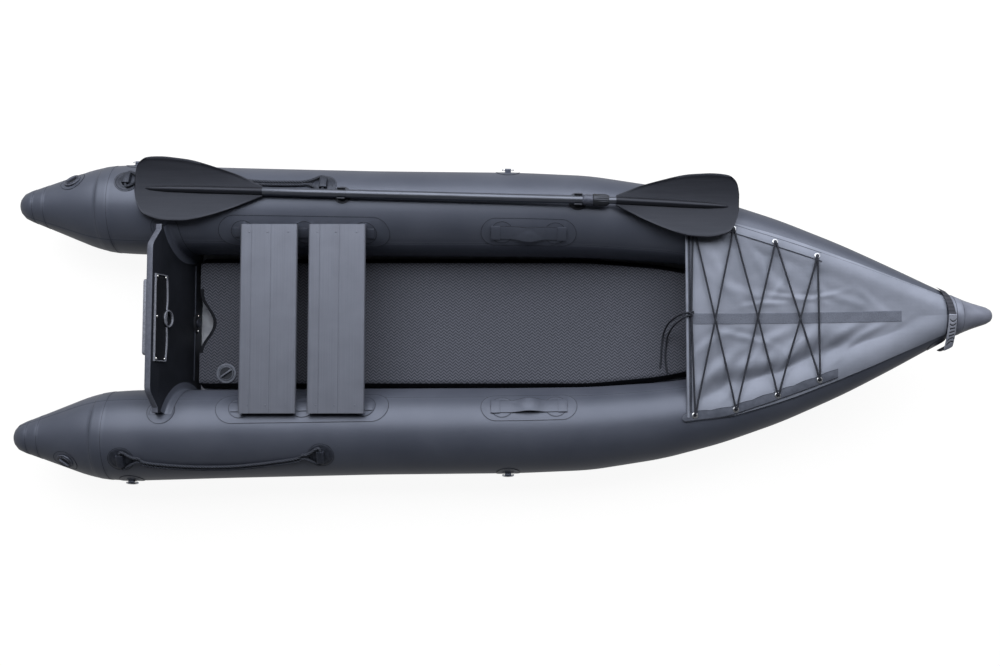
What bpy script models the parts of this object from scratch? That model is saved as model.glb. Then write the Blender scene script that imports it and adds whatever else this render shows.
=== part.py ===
# Inflatable boat with an air floor, a plywood transom, two bench seats and a clipped paddle.
# Metres. The bow points along +X, port is +Y, up is +Z, and the hull stands on Z = 0.

import math

import bmesh
import bpy
from mathutils import Matrix, Vector

# Hull: overall sizes, then the shape of a tube along its length as shares of them.
hull_length = 3.3
hull_half_width = 0.556
tube_radius = 0.158
nose_keel = 0.28
tube_skin = 0.001
gap = 0.0003
facet_count = 24
sharp_angle = 34.0
angle_limit = 90.0
halvings = 40
facet_step = 360 / facet_count
facet_reach = 1 / math.cos(math.radians(facet_step / 2))

# Along the length from midships, outer half width, tube radius, keel height.
station_shares = [
    (-0.4896, 0.8178, 0.3209, 0.4904),
    (-0.4136, 0.9865, 0.9462, 0.0304),
    (-0.3788, 1.0000, 1.0000, 0.0000),
    (-0.2727, 0.9820, 0.9715, 0.0000),
    (-0.1212, 0.9622, 0.9494, 0.0000),
    (0.0303, 0.9532, 0.9399, 0.0000),
    (0.1061, 0.9344, 0.9177, 0.0000),
    (0.1818, 0.8624, 0.8418, 0.0714),
    (0.2424, 0.7662, 0.7595, 0.1786),
    (0.3030, 0.6349, 0.7089, 0.3214),
    (0.3636, 0.4664, 0.6582, 0.5214),
    (0.4091, 0.3156, 0.6203, 0.7214),
    (0.4545, 0.1493, 0.5253, 1.0250),
    (0.4733, 0.0908, 0.3196, 1.2250),
    (0.4942, 0.0477, 0.1677, 1.3707),
]
stern_seam = 0
bow_tube_start = 6
bow_cone_start = 12
stations = [
    (
        along * hull_length,
        width * hull_half_width,
        radius * tube_radius,
        keel * nose_keel,
    )
    for along, width, radius, keel in station_shares
]

# Floor and bottom.
sheet = 0.0012
bottom_aft = -1.12
bottom_fore = 1.34
bottom_inner_angle = -142.5
bottom_lap_angle = -157.5
floor_thick = 0.069
floor_bulge = 0.02
floor_notch_half = 0.087
floor_notch_depth = 0.0475
# How far the middle of the floor's aft end lies ahead of the board's top edge.
floor_aft_reach = 0.0778
floor_aft_inset = 0.1793
# Along the boat, from the middle of a tube to the edge of the flat top.
floor_insets = [
    (-0.9, 0.177),
    (-0.4, 0.1695),
    (0.1, 0.166),
    (0.35, 0.159),
    (0.6, 0.1545),
    (0.8, 0.154),
    (1.0, 0.141),
]

# Transom board, leaning back from its foot.
board_thick = 0.022
board_top = 0.385
board_top_x = -1.1228
board_rake = 12.0
board_top_inset = 0.311
board_top_half = hull_half_width - board_top_inset
shoulder_height = 0.333
shoulder_face = 0.0374
shoulder_flat = 0.0158
board_foot_angle = -138.0
board_clear = 0.0036
outer_pad_half = 0.127
outer_pad_high = 0.09
outer_pad_thick = 0.013
inner_pad_half = 0.1465
inner_pad_top = 0.015
inner_pad_low = 0.098
inner_pad_thick = 0.007
pad_drop = 0.004
eye_radius = 0.03
eye_bore = 0.018
eye_drop = 0.098
eye_rise_share = 1.6
holder_reach = 0.032
holder_thick = 0.0016
holder_top_angle = -27.0
holder_low_angle = -122.0

# Drain through the foot of the transom.
drain_height = 0.078
drain_half_wide = 0.037
drain_half_high = 0.024
drain_thick = 0.006
drain_bore = 0.0125
drain_corner_share = 0.95
plug_stem_share = 0.8
plug_head = 0.0165
plug_head_long = 0.008
plug_stem_long = 0.024

# Valves.
valve_x = -1.45
valve_angle = 45.0
floor_valve_reach = 0.1805
floor_valve_inset = 0.376
floor_valve_y = floor_valve_inset - hull_half_width
tube_valve_radius = 0.03
floor_valve_radius = 0.0356
valve_barrel_share = 0.86
valve_bore_share = 0.724
valve_cap_share = 0.71
valve_edge_share = 0.96
valve_flange = 0.0035
valve_deep = 0.024
valve_wall = 0.003
cap_thick = 0.0045
cap_bar_high = 0.0065
cap_bar_wide = 0.007
cap_bar_share = 0.86
cap_turn = 35.0
plunger_thick = 0.004
plunger_drop = 0.007
plunger_share = 0.55
plunger_stem = 0.004

# Bench seats and the straps that hold them.
bench_end_inset = 0.2353
bench_half_long = hull_half_width - bench_end_inset
bench_wide = 0.194
bench_high = 0.021
bench_under = 0.297
bench_corner = 0.009
bench_wall = 0.002
bench_chambers = 5
bench_places = {"bench_aft": -0.7525, "bench_fore": -0.5212}
hook_places = {"bench_aft": -0.7427, "bench_fore": -0.535}
hook_long = 0.06
hook_tongue = 0.0019
hook_slot_low = 0.005
hook_slot_high = 0.0082
hook_inner = -0.016
hook_outer = 0.0215
hook_wall = 0.0045
seat_strap_x = -0.64
seat_strap_angle = -36.6
seat_disc_places = [-0.208, 0.003, 0.207]
strap_half = 0.02
strap_thick = 0.002
strap_end = 0.24
strap_lift = 0.0055
strap_ramp = 0.012
disc_radius = 0.042
patch_thick = 0.0012
disc_thick = 0.0012
seat_patch_half_long = 0.294
seat_patch_half_wide = 0.06
patch_corner_share = 0.96

# Carry handles forward of the seats.
carry_x = 0.1308
carry_angle = -34.0
carry_disc_places = [-0.0918, 0.0918]
carry_disc_radius = 0.04
carry_patch_half_long = 0.1645
carry_patch_half_wide = 0.052
carry_strap_half_long = 0.1305
carry_strap_half_wide = 0.024
carry_rise = 0.022

# Rope handles outside, on moulded anchors.
anchor_places = {"aft": -1.2456, "fore": -0.574}
anchor_angle = 30.0
anchor_patch_radius = 0.045
anchor_disc_radius = 0.044
bridge_half_long = 0.0135
bridge_half_wide = 0.02
bridge_high = 0.019
tunnel_half = 0.0068
tunnel_high = 0.0155
bridge_shoulder_share = 0.7
bridge_top_share = 0.6
tunnel_shoulder_share = 0.75
tunnel_top_share = 0.5
rope_radius = 0.0055
rope_skin_lift = 0.0064
strand_half = 0.0061
rope_step = 6
# One side of the eye through an anchor: from its middle, around the tube, lift.
rope_eye = [
    (0.062, 0.0063, 0.0072),
    (0.046, 0.0092, 0.0086),
    (0.030, 0.0175, 0.0088),
    (0.016, 0.0268, 0.0088),
    (0.0048, 0.0302, 0.0088),
    (0.0002, 0.0220, 0.0088),
    (0.0, 0.0080, 0.0088),
]
# Along the boat, angle of the pair's middle on the tube.
rope_routes = {
    "port": [(-1.16, 31.5), (-1.04, 33.0), (-0.9, 32.0), (-0.78, 28.5), (-0.66, 29.0)],
    "starboard": [(-1.16, 36.0), (-1.04, 42.5), (-0.9, 45.0), (-0.78, 41.5), (-0.66, 35.0)],
}

# D-rings on the outer sides.
ring_places = {"aft": -1.2377, "fore": 0.0603}
ring_angle = 75.0
ring_patch_radius = 0.042
ring_bar_half = 0.017
ring_deep = 0.026
ring_wire = 0.0025
ring_lift = 0.0085
ring_block_half = 0.0105
ring_block_wide = 0.0075
ring_block_high = 0.0135
ring_tunnel = 0.0029
ring_block_shoulder_share = 0.6
ring_block_top_share = 0.5
ring_straight_share = 0.55
ring_belly_share = 1.08

# Paddle, level along the port tube.
paddle_aft = -0.77
paddle_fore = 0.4266
paddle_aft_inset = 0.124
paddle_fore_inset = 0.155
paddle_z = 0.3205
shaft_radius = 0.0142
shaft_wall = 0.0015
collar_radius = 0.0185
collar_from = 0.3154
collar_to = 0.3475
nut_to = 0.402
nut_radius = 0.0212
neck_radius = 0.0122
blade_long = 0.425
blade_half_wide = 0.11
blade_thick = 0.005
# Along the blade, radius of its spine against the neck's.
spine_shares = [(0.0, 1.1), (0.12, 1.1), (0.5, 1.08), (0.75, 0.92), (0.88, 0.55), (0.93, 0.12)]
nut_shoulder_share = 0.95
nut_end_share = 0.8
# Along the blade, upper edge, lower edge.
blade_shares = [
    (0.0, 0.165, -0.17),
    (0.1, 0.34, -0.35),
    (0.19, 0.49, -0.50),
    (0.37, 0.715, -0.78),
    (0.545, 0.90, -0.975),
    (0.69, 0.973, -1.01),
    (0.79, 1.0, -0.985),
    (0.8975, 0.976, -0.865),
    (0.947, 0.89, -0.70),
    (0.982, 0.736, -0.31),
    (1.0, 0.30, -0.02),
]
clip_places = {"aft": -0.508, "fore": 0.298}
clip_half_long = 0.0135
clip_disc_radius = 0.032
clip_wall = 0.0036
clip_clear = 0.0005
clip_cap = 0.0022
clip_rise_share = 0.8
clip_saddle_share = 0.9

# Spray deck over the bow, its stiffened edge and its lacing.
deck_thick = 0.0015
deck_lift = 0.0007
deck_arc_steps = 5
# Along the boat, angle of the deck's edge on the tube.
deck_edges = [
    (0.674, 5.0),
    (0.74, 10.0),
    (0.82, 16.0),
    (1.0, 19.0),
    (1.2, 23.0),
    (1.35, 30.0),
    (1.476, 40.0),
]
strip_half = 0.014
strip_thick = 0.0012
strip_run = [(0.6745, 0.0), (0.8, 5.5), (1.0, 4.0), (1.16, 7.5)]
eyelet_spots = [(0.691, 0.0), (0.829, 5.5), (0.967, 4.2), (1.102, 6.0)]
eyelet_radius = 0.0115
eyelet_bore = 0.006
eyelet_high = 0.0012
eyelet_turn = 7.0
batten_aft = 0.6645
batten_fore = 0.6734
batten_thick = 0.005
batten_reach = 0.0019
batten_corner_share = 0.45
lace_radius = 0.00275
lace_low = 0.0069
lace_cross = 0.0065
lace_turn = 0.009
lace_straight_share = 1.4
knot_spot = (0.6826, 0.0176)
# Loose ends: over the deck's edge, down inside the bow and along the floor.
loose_ends = {
    "port": [
        (0.6793, 0.0205, 0.2984),
        (0.6665, 0.0205, 0.299),
        (0.652, 0.0165, 0.2935),
        (0.636, 0.0075, 0.258),
        (0.6215, -0.0075, 0.19),
        (0.613, -0.035, 0.1345),
        (0.6085, -0.063, 0.1212),
        (0.605, -0.098, 0.1198),
        (0.6035, -0.128, 0.1194),
        (0.5998, -0.1597, 0.1189),
    ],
    "starboard": [
        (0.6793, 0.0122, 0.2984),
        (0.6665, 0.0085, 0.299),
        (0.654, 0.0015, 0.2945),
        (0.6435, -0.0075, 0.265),
        (0.633, -0.0225, 0.2),
        (0.6265, -0.046, 0.14),
        (0.6222, -0.072, 0.1236),
        (0.6185, -0.106, 0.1218),
        (0.6195, -0.143, 0.1216),
        (0.6248, -0.178, 0.1224),
    ],
}
cord_step = 0.0165

# Carrying strap over the nose.
bow_strap_x = 1.492
bow_strap_half = 0.0115
bow_strap_thick = 0.0022
bow_strap_port_angle = 74.0
bow_strap_starboard_angle = -96.0
bow_strap_seat = 0.0006
bow_strap_rise = 0.02
bow_rise_middle = -42.0
bow_rise_half = 44.0
bow_rise_power = 0.8
grip_from = -68.0
grip_to = -6.0
grip_half = 0.014
grip_thick = 0.0077
grip_clear = 0.0006
strap_steps = 14

round_sides = 20
small_sides = 16
eyelet_sides = 12
arc_steps = 6
patch_steps = 4


def make_look(name, colour, roughness, metallic=0.0):
    look = bpy.data.materials.new(name)
    look.use_nodes = True
    shader = look.node_tree.nodes["Principled BSDF"]
    shader.inputs["Base Color"].default_value = (*colour, 1)
    shader.inputs["Roughness"].default_value = roughness
    shader.inputs["Metallic"].default_value = metallic
    look.diffuse_color = (*colour, 1)
    return look


def section(x):
    """Centre's distance from the middle, its height and the radius of a tube at x."""
    for before, after in zip(stations, stations[1:]):
        if x <= after[0]:
            break
    share = (x - before[0]) / (after[0] - before[0])
    width, radius, keel = [a + (b - a) * share for a, b in zip(before[1:], after[1:])]
    return width - radius, keel + radius, radius


def skin_point(side, x, angle, lift):
    """A point over the faceted tube; the angle is from the top, positive outboard."""
    centre_y, centre_z, radius = section(x)
    facet = round(angle / facet_step) * facet_step
    reach = (radius + lift) / math.cos(math.radians(angle - facet))
    turn = math.radians(angle)
    return Vector((x, side * (centre_y + reach * math.sin(turn)), centre_z + reach * math.cos(turn)))


def board_x(z):
    """Middle of the leaning board at height z."""
    return board_top_x + (board_top - z) * math.tan(math.radians(board_rake))


def leaning_point(side, angle, lift, along):
    """A point over the tube, so far forward of the leaning board's middle."""
    x = board_top_x
    for _ in (1, 2, 3):
        point = skin_point(side, x + along, angle, lift)
        x = board_x(point.z)
    return point


def loft(rings, closed=False):
    """A skin through rings of points, where a ring of one point is a pole."""
    bm = bmesh.new()
    loops = [[bm.verts.new(point) for point in ring] for ring in rings]
    pairs = list(zip(loops, loops[1:]))
    if closed:
        pairs.append((loops[-1], loops[0]))
    for first, second in pairs:
        count = max(len(first), len(second))
        for i in range(count):
            j = (i + 1) % count
            corners = [first[i % len(first)], first[j % len(first)]]
            corners += [second[j % len(second)], second[i % len(second)]]
            bm.faces.new(list(dict.fromkeys(corners)))
    if not closed:
        for loop in (loops[0], loops[-1]):
            if len(loop) > 2:
                bm.faces.new(loop)
    return bm


def prism(outline, low, high):
    """A flat outline drawn up from low to high."""
    bm = bmesh.new()
    face = bm.faces.new([bm.verts.new((u, v, low)) for u, v in outline])
    drawn = bmesh.ops.extrude_face_region(bm, geom=[face])
    moved = [item for item in drawn["geom"] if isinstance(item, bmesh.types.BMVert)]
    bmesh.ops.translate(bm, verts=moved, vec=(0, 0, high - low))
    return bm


def circle(radius, sides=round_sides, centre=(0, 0)):
    turns = [2 * math.pi * (i + 0.5) / sides for i in range(sides)]
    return [(centre[0] + radius * math.cos(t), centre[1] + radius * math.sin(t)) for t in turns]


def rounded(half_u, half_v, radius, steps=arc_steps):
    """A rectangle with round corners."""
    points = []
    for quarter, (a, b) in enumerate([(1, 1), (-1, 1), (-1, -1), (1, -1)]):
        for i in range(steps + 1):
            turn = math.pi / 2 * (quarter + i / steps)
            points.append(
                (
                    a * (half_u - radius) + radius * math.cos(turn),
                    b * (half_v - radius) + radius * math.sin(turn),
                )
            )
    return points


def box(half_u, half_v, low, high, centre=(0, 0)):
    u, v = centre
    corners = [(u - half_u, v - half_v), (u + half_u, v - half_v)]
    corners += [(u + half_u, v + half_v), (u - half_u, v + half_v)]
    return prism(corners, low, high)


def moved_by(bm, matrix):
    bmesh.ops.transform(bm, matrix=matrix, verts=bm.verts)
    return bm


def along_boat(bm):
    """Turns a profile drawn as (around, lift) so that its length runs along the boat."""
    return moved_by(bm, Matrix(((0, 0, 1, 0), (1, 0, 0, 0), (0, 1, 0, 0), (0, 0, 0, 1))))


def across_boat(bm):
    """Turns a profile drawn as (along, lift) so that its length runs across."""
    return moved_by(bm, Matrix(((1, 0, 0, 0), (0, 0, -1, 0), (0, 1, 0, 0), (0, 0, 0, 1))))


def spun(profile, sides=round_sides):
    """A solid turned about Z from (radius, height) pairs; radius 0 is a pole, else it is bored."""
    rings = []
    for radius, height in profile:
        if radius == 0:
            rings.append([Vector((0, 0, height))])
        else:
            rings.append([Vector((u, v, height)) for u, v in circle(radius, sides)])
    return loft(rings, closed=profile[0][0] > 0)


def face_out(bm):
    bmesh.ops.recalc_face_normals(bm, faces=bm.faces)
    if bm.calc_volume(signed=True) < 0:
        bmesh.ops.reverse_faces(bm, faces=bm.faces)


def hidden(bm, name="helper"):
    face_out(bm)
    mesh = bpy.data.meshes.new(name)
    bm.to_mesh(mesh)
    bm.free()
    thing = bpy.data.objects.new(name, mesh)
    bpy.context.scene.collection.objects.link(thing)
    thing.hide_render = True
    thing.display_type = "WIRE"
    return thing


def combine(base, others, operation="UNION"):
    """The base with the other solids joined to it or cut from it."""
    target = hidden(base)
    cutters = [hidden(other) for other in others]
    for cutter in cutters:
        modifier = target.modifiers.new("combine", "BOOLEAN")
        modifier.operation = operation
        modifier.object = cutter
    result = bmesh.new()
    result.from_object(target, bpy.context.evaluated_depsgraph_get())
    for helper in [target, *cutters]:
        bpy.data.objects.remove(helper)
    bmesh.ops.remove_doubles(result, verts=result.verts, dist=gap / 20)
    bmesh.ops.dissolve_degenerate(result, dist=gap / 20, edges=result.edges)
    return result


def split(bm, point, normal):
    geometry = bm.verts[:] + bm.edges[:] + bm.faces[:]
    bmesh.ops.bisect_plane(bm, geom=geometry, dist=gap / 100, plane_co=point, plane_no=normal)


def wrap(bm, side, x, angle, lean=False, ceiling=None):
    """Lays a solid modelled flat, as (along, around, lift), over the facets of one tube."""
    radius = section(x)[2]
    low_arc = min(vert.co.y for vert in bm.verts)
    high_arc = max(vert.co.y for vert in bm.verts)
    for k in range(-facet_count, facet_count):
        arc = math.radians(facet_step * (k + 0.5) - angle) * radius
        if low_arc < arc < high_arc:
            split(bm, (0, arc, 0), (0, 1, 0))
    low = min(vert.co.x for vert in bm.verts)
    high = max(vert.co.x for vert in bm.verts)
    for station in stations:
        if low < station[0] - x < high and not lean:
            split(bm, (station[0] - x, 0, 0), (1, 0, 0))
    for vert in bm.verts:
        along, around, lift = vert.co
        turn = angle + math.degrees(around / radius)
        if lean:
            vert.co = leaning_point(side, turn, lift, along)
            continue
        vert.co = skin_point(side, x + along, turn, lift)
        if ceiling is not None and vert.co.z > ceiling:
            centre_y, centre_z, _ = section(x + along)
            reach = (ceiling - centre_z) * math.tan(math.radians(turn))
            vert.co = (x + along, side * (centre_y + reach), ceiling)
    return bm


def skin_frame(side, x, angle, lift):
    """Placement whose Z stands square on the tube's skin."""
    here = skin_point(side, x, angle, lift)
    along = (skin_point(side, x + gap, angle, lift) - here).normalized()
    around = (skin_point(side, x, angle + 1, lift) - here).normalized()
    out = along.cross(around).normalized() * side
    around = out.cross(along) * side
    matrix = Matrix((along, around, out)).transposed().to_4x4()
    matrix.translation = here
    return matrix


def add(name, bm, look, origin=(0, 0, 0)):
    face_out(bm)
    bmesh.ops.translate(bm, verts=bm.verts, vec=-Vector(origin))
    for face in bm.faces:
        face.smooth = True
    mesh = bpy.data.meshes.new(name)
    bm.to_mesh(mesh)
    bm.free()
    mesh.set_sharp_from_angle(angle=math.radians(sharp_angle))
    mesh.materials.append(look)
    thing = bpy.data.objects.new(name, mesh)
    thing.location = origin
    bpy.context.scene.collection.objects.link(thing)
    return thing


def cut(thing, cutter):
    modifier = thing.modifiers.new("opening", "BOOLEAN")
    modifier.operation = "DIFFERENCE"
    modifier.object = cutter


def add_cord(name, points, radius, look, closed=False, origin=(0, 0, 0)):
    """A round cord along a list of points."""
    curve = bpy.data.curves.new(name, "CURVE")
    curve.dimensions = "3D"
    curve.bevel_depth = radius
    curve.bevel_resolution = 2
    curve.use_fill_caps = not closed
    spline = curve.splines.new("POLY")
    spline.points.add(len(points) - 1)
    for target, point in zip(spline.points, points):
        target.co = (*(Vector(point) - Vector(origin)), 1)
    spline.use_cyclic_u = closed
    curve.materials.append(look)
    thing = bpy.data.objects.new(name, curve)
    thing.location = origin
    bpy.context.scene.collection.objects.link(thing)
    return thing


def smooth_route(points, step, closed=False):
    """Points a step apart on a smooth curve through the given ones."""
    points = [Vector(point) for point in points]
    if closed:
        points = [points[-1], *points, points[0], points[1]]
    else:
        points = [2 * points[0] - points[1], *points, 2 * points[-1] - points[-2]]
    route = []
    for a, b, c, d in zip(points, points[1:], points[2:], points[3:]):
        count = max(1, round((c - b).length / step))
        for i in range(count):
            t = i / count
            rise = (c - a) * t
            bend = (2 * a - 5 * b + 4 * c - d) * t**2
            turn = (3 * b - a - 3 * c + d) * t**3
            route.append(b + (rise + bend + turn) / 2)
    return route if closed else [*route, points[-2]]


def route_length(points):
    return sum((b - a).length for a, b in zip(points, points[1:]))


# Hull tubes
def tube_ring(side, x, inset):
    ring = []
    for k in range(facet_count):
        point = skin_point(side, x, facet_step * (k + 0.5), -inset)
        point.y = side * max(side * point.y, gap / 2 + inset)
        ring.append(point)
    return ring


def ball_end(side, way, inset):
    """Rings that close the last cone with a ball, and the pole."""
    edge, inner = (stations[0], stations[1]) if way < 0 else (stations[-1], stations[-2])
    slope = math.atan2(inner[2] - edge[2], abs(inner[0] - edge[0]))
    ball = edge[2] / math.cos(slope)
    middle = edge[0] - way * ball * math.sin(slope)
    centre_y, centre_z, _ = section(edge[0])
    rings = []
    for share in (1 / 3, 2 / 3):
        lift = slope + (math.pi / 2 - slope) * share
        radius = (ball - inset) * math.cos(lift) * facet_reach
        x = middle + way * (ball - inset) * math.sin(lift)
        ring = []
        for k in range(facet_count):
            turn = math.radians(facet_step * (k + 0.5))
            y = side * (centre_y + radius * math.sin(turn))
            ring.append(Vector((x, y, centre_z + radius * math.cos(turn))))
        rings.append(ring)
    rings.append([Vector((middle + way * (ball - inset), side * centre_y, centre_z))])
    return rings


def tube_shell(side, first, last, from_pole):
    """A hollow tube between two stations, closed at the stern by its cone if from_pole."""
    places = [station[0] for station in stations[first : last + 1]]
    if not from_pole:
        places[0] += gap / 2
    places[-1] -= gap / 2
    outer = [tube_ring(side, x, 0) for x in places]
    inner = [tube_ring(side, x, tube_skin) for x in places]
    if from_pole:
        outer = ball_end(side, -1, 0)[::-1] + outer
        inner = ball_end(side, -1, tube_skin)[::-1] + inner
        return loft(outer + inner[::-1])
    return loft(outer + inner[::-1], closed=True)


def nose_shell():
    places = [station[0] for station in stations[bow_cone_start:]]
    places[0] += gap / 2
    outer = []
    inner = []
    for inset, rings in ((0, outer), (tube_skin, inner)):
        for x in places:
            centre_y, centre_z, radius = section(x)
            turns = [math.radians(facet_step * (k + 0.5)) for k in range(facet_count)]
            reach = (radius - inset) * facet_reach
            rings.append(
                [Vector((x, reach * math.sin(t), centre_z + reach * math.cos(t))) for t in turns]
            )
        rings.extend(ball_end(1, 1, inset))
    return loft(inner[::-1] + outer)


def add_bottom():
    places = [bottom_aft]
    places += [s[0] for s in stations if bottom_aft < s[0] < bottom_fore]
    places += [bottom_fore]
    rings = []
    for x in places:
        ring = []
        for lift, turns in (
            (gap, (bottom_lap_angle, bottom_inner_angle)),
            (gap + sheet, (bottom_inner_angle, bottom_lap_angle)),
        ):
            sides = (1, -1) if lift == gap else (-1, 1)
            for side, angles in zip(sides, (turns, turns[::-1])):
                ring += [skin_point(side, x, angle, lift) for angle in angles]
        rings.append(ring)
    return add("hull_bottom", loft(rings), looks["bottom"])


def floor_low(x):
    """Underside of the air floor, on the bottom sheet."""
    return skin_point(1, x, bottom_inner_angle, gap).z + gap


def add_floor(valve_hole):
    rings = []
    aft = board_top_x + floor_aft_reach
    plan = [(aft, floor_aft_inset)]
    plan += [(x, inset) for x, inset in floor_insets if x > aft + floor_thick]
    for x, inset in plan:
        half = section(x)[0] - inset
        low = floor_low(x)
        ring = []
        for i in range(arc_steps + 1):
            turn = math.pi * i / arc_steps - math.pi / 2
            ring.append((half + floor_bulge * math.cos(turn), math.sin(turn)))
        ring += [(-half_y, share) for half_y, share in ring[::-1]]
        middle = low + floor_thick / 2
        slope = 0 if rings else math.tan(math.radians(board_rake)) * floor_thick / 2
        rings.append(
            [
                Vector((x + slope * (1 - share), y, middle + floor_thick / 2 * share))
                for y, share in ring
            ]
        )
    notch = [(-floor_notch_half, 0), (floor_notch_half, 0)]
    sweep = [math.pi * i / 8 for i in range(1, 8)]
    notch += [(floor_notch_half * math.cos(t), floor_notch_depth * math.sin(t)) for t in sweep]
    outline = [(aft + v, u) for u, v in notch]
    outline[0] = (aft - floor_thick, -floor_notch_half)
    outline[1] = (aft - floor_thick, floor_notch_half)
    cutter = hidden(prism(outline, -floor_thick, 4 * floor_thick), "floor_notch_cutter")
    thing = add("air_floor", loft(rings), looks["floor"])
    cut(thing, cutter)
    cut(thing, valve_hole)


# Valves
def add_valve(prefix, matrix, radius):
    """Body, spring plunger and turning cap, modelled upright and placed by the matrix."""
    barrel = radius * valve_barrel_share
    bore = radius * valve_bore_share
    cap = radius * valve_cap_share
    guide = plunger_stem + gap * 1.5
    body = [
        (guide, -valve_deep),
        (barrel, -valve_deep),
        (barrel, 0),
        (radius, 0),
        (radius * valve_edge_share, valve_flange),
        (bore, valve_flange),
        (bore, valve_wall - valve_deep),
        (guide, valve_wall - valve_deep),
    ]
    spot = matrix.to_translation()
    add(prefix + "_valve_body", moved_by(spun(body, small_sides), matrix), looks["valve"])
    low = valve_wall - valve_deep + gap + plunger_drop
    plunger = spun(
        [
            (0, -valve_deep),
            (plunger_stem, -valve_deep),
            (plunger_stem, low),
            (bore * plunger_share, low),
            (bore * plunger_share, low + plunger_thick),
            (0, low + plunger_thick),
        ],
        small_sides,
    )
    add(prefix + "_valve_plunger", moved_by(plunger, matrix), looks["valve_dark"], spot)
    top = valve_flange + cap_thick / 3
    lid = spun([(0, top - cap_thick), (cap, top - cap_thick), (cap, top), (0, top)])
    bar = box(cap * cap_bar_share, cap_bar_wide / 2, top - cap_thick / 2, top + cap_bar_high)
    turned = Matrix.Rotation(math.radians(cap_turn), 4, "Z")
    cap_solid = combine(lid, [moved_by(bar, turned)])
    add(prefix + "_valve_cap", moved_by(cap_solid, matrix), looks["valve_cap"], spot)
    hole = spun(
        [
            (0, -valve_deep - 2 * plunger_drop),
            (barrel + gap, -valve_deep - 2 * plunger_drop),
            (barrel + gap, valve_deep),
            (0, valve_deep),
        ],
        small_sides,
    )
    return hidden(moved_by(hole, matrix), prefix + "_valve_cutter")


# Transom
def board_matrix():
    rake = math.radians(board_rake)
    across = Vector((0, 1, 0))
    up = Vector((-math.sin(rake), 0, math.cos(rake)))
    inboard = Vector((math.cos(rake), 0, math.sin(rake)))
    matrix = Matrix((across, up, inboard)).transposed().to_4x4()
    matrix.translation = (board_top_x, 0, board_top)
    return matrix


def up_board(z):
    return (z - board_top) / math.cos(math.radians(board_rake))


def board_end_angle():
    """Where the tube is so high that the board's end face starts on it."""
    low, high = -angle_limit, 0
    for _ in range(halvings):
        angle = (low + high) / 2
        if leaning_point(1, angle, board_clear, 0).z < shoulder_height - shoulder_face:
            low = angle
        else:
            high = angle
    return low


def add_transom():
    matrix = board_matrix()
    end_angle = board_end_angle()
    end = leaning_point(1, end_angle, board_clear, 0)
    shoulder = up_board(shoulder_height)
    half = [(board_top_half, 0), (end.y - shoulder_flat, shoulder), (end.y, shoulder)]
    facets = [facet_step * (0.5 - k) for k in range(1, facet_count)]
    facets = [angle for angle in facets if board_foot_angle < angle < end_angle]
    for angle in [end_angle, *facets, board_foot_angle]:
        point = leaning_point(1, angle, board_clear, 0)
        half.append((point.y, up_board(point.z)))
    outline = half + [(-u, v) for u, v in half[::-1]]
    board = prism(outline, -board_thick / 2, board_thick / 2)
    bore = prism(circle(drain_bore + gap, small_sides), -board_thick, board_thick)
    bore = moved_by(bore, Matrix.Translation((0, up_board(drain_height), 0)))
    board = combine(board, [bore], "DIFFERENCE")
    add("transom_board", moved_by(board, matrix), looks["board"])

    face = board_thick / 2 + gap
    outer = rounded(outer_pad_half, outer_pad_high / 2, pad_drop * 2)
    outer = prism(outer, -face - outer_pad_thick, -face)
    outer = moved_by(outer, Matrix.Translation((0, -outer_pad_high / 2 - pad_drop, 0)))
    add("transom_outer_pad", moved_by(outer, matrix), looks["pad"])

    steps = [i / 16 for i in range(17)]
    lobes = [
        (
            inner_pad_half * (1 - 2 * s),
            -inner_pad_low + pad_drop * 2 * (1 - abs(math.sin(2 * math.pi * s))),
        )
        for s in steps
    ]
    outline = [(-inner_pad_half, -inner_pad_top), (inner_pad_half, -inner_pad_top), *lobes]
    plate = prism(outline, face, face + inner_pad_thick)
    down = Matrix.Translation((0, -eye_drop, 0))
    ring = moved_by(prism(circle(eye_radius), face, face + inner_pad_thick * eye_rise_share), down)
    plate = combine(plate, [ring])
    bore = moved_by(prism(circle(eye_bore, small_sides), 0, board_thick * 2), down)
    plate = combine(plate, [bore], "DIFFERENCE")
    add("transom_inner_pad", moved_by(plate, matrix), looks["pad"])

    centre = Matrix.Translation((0, up_board(drain_height), 0))
    oval = rounded(drain_half_wide, drain_half_high, drain_half_high * drain_corner_share)
    flange = prism(oval, face, face + drain_thick)
    barrel = prism(circle(drain_bore, small_sides), -face, face + drain_thick / 2)
    flange = combine(flange, [barrel])
    inner = circle(drain_bore * plug_stem_share, small_sides)
    inner_bore = prism(inner, -board_thick * 2, board_thick * 2)
    flange = combine(flange, [inner_bore], "DIFFERENCE")
    add("drain_flange", moved_by(flange, matrix @ centre), looks["valve_dark"])
    top = face + drain_thick + gap
    plug = spun(
        [
            (0, top - plug_stem_long),
            (drain_bore * plug_stem_share - gap, top - plug_stem_long),
            (drain_bore * plug_stem_share - gap, top),
            (plug_head, top),
            (plug_head, top + plug_head_long),
            (0, top + plug_head_long),
        ],
        small_sides,
    )
    spot = (matrix @ centre) @ Vector((0, 0, top))
    add("drain_plug", moved_by(plug, matrix @ centre), looks["valve"], spot)


def add_holder(prefix, side):
    """Angle strip that holds the board's edge to the tube."""
    middle = (holder_top_angle + holder_low_angle) / 2
    x = board_x(section(board_top_x)[1])
    half = math.radians(holder_top_angle - holder_low_angle) / 2 * section(x)[2]
    face = board_thick / 2 / math.cos(math.radians(board_rake)) + gap * 2
    low = gap * 2
    profile = [
        (face, low),
        (face + holder_reach, low),
        (face + holder_reach, low + holder_thick),
        (face + holder_thick, low + holder_thick),
        (face + holder_thick, low + holder_reach),
        (face, low + holder_reach),
    ]
    strip = across_boat(prism(profile, -half, half))
    add(prefix + "_transom_holder", wrap(strip, side, x, middle, lean=True), looks["tape"])


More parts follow.
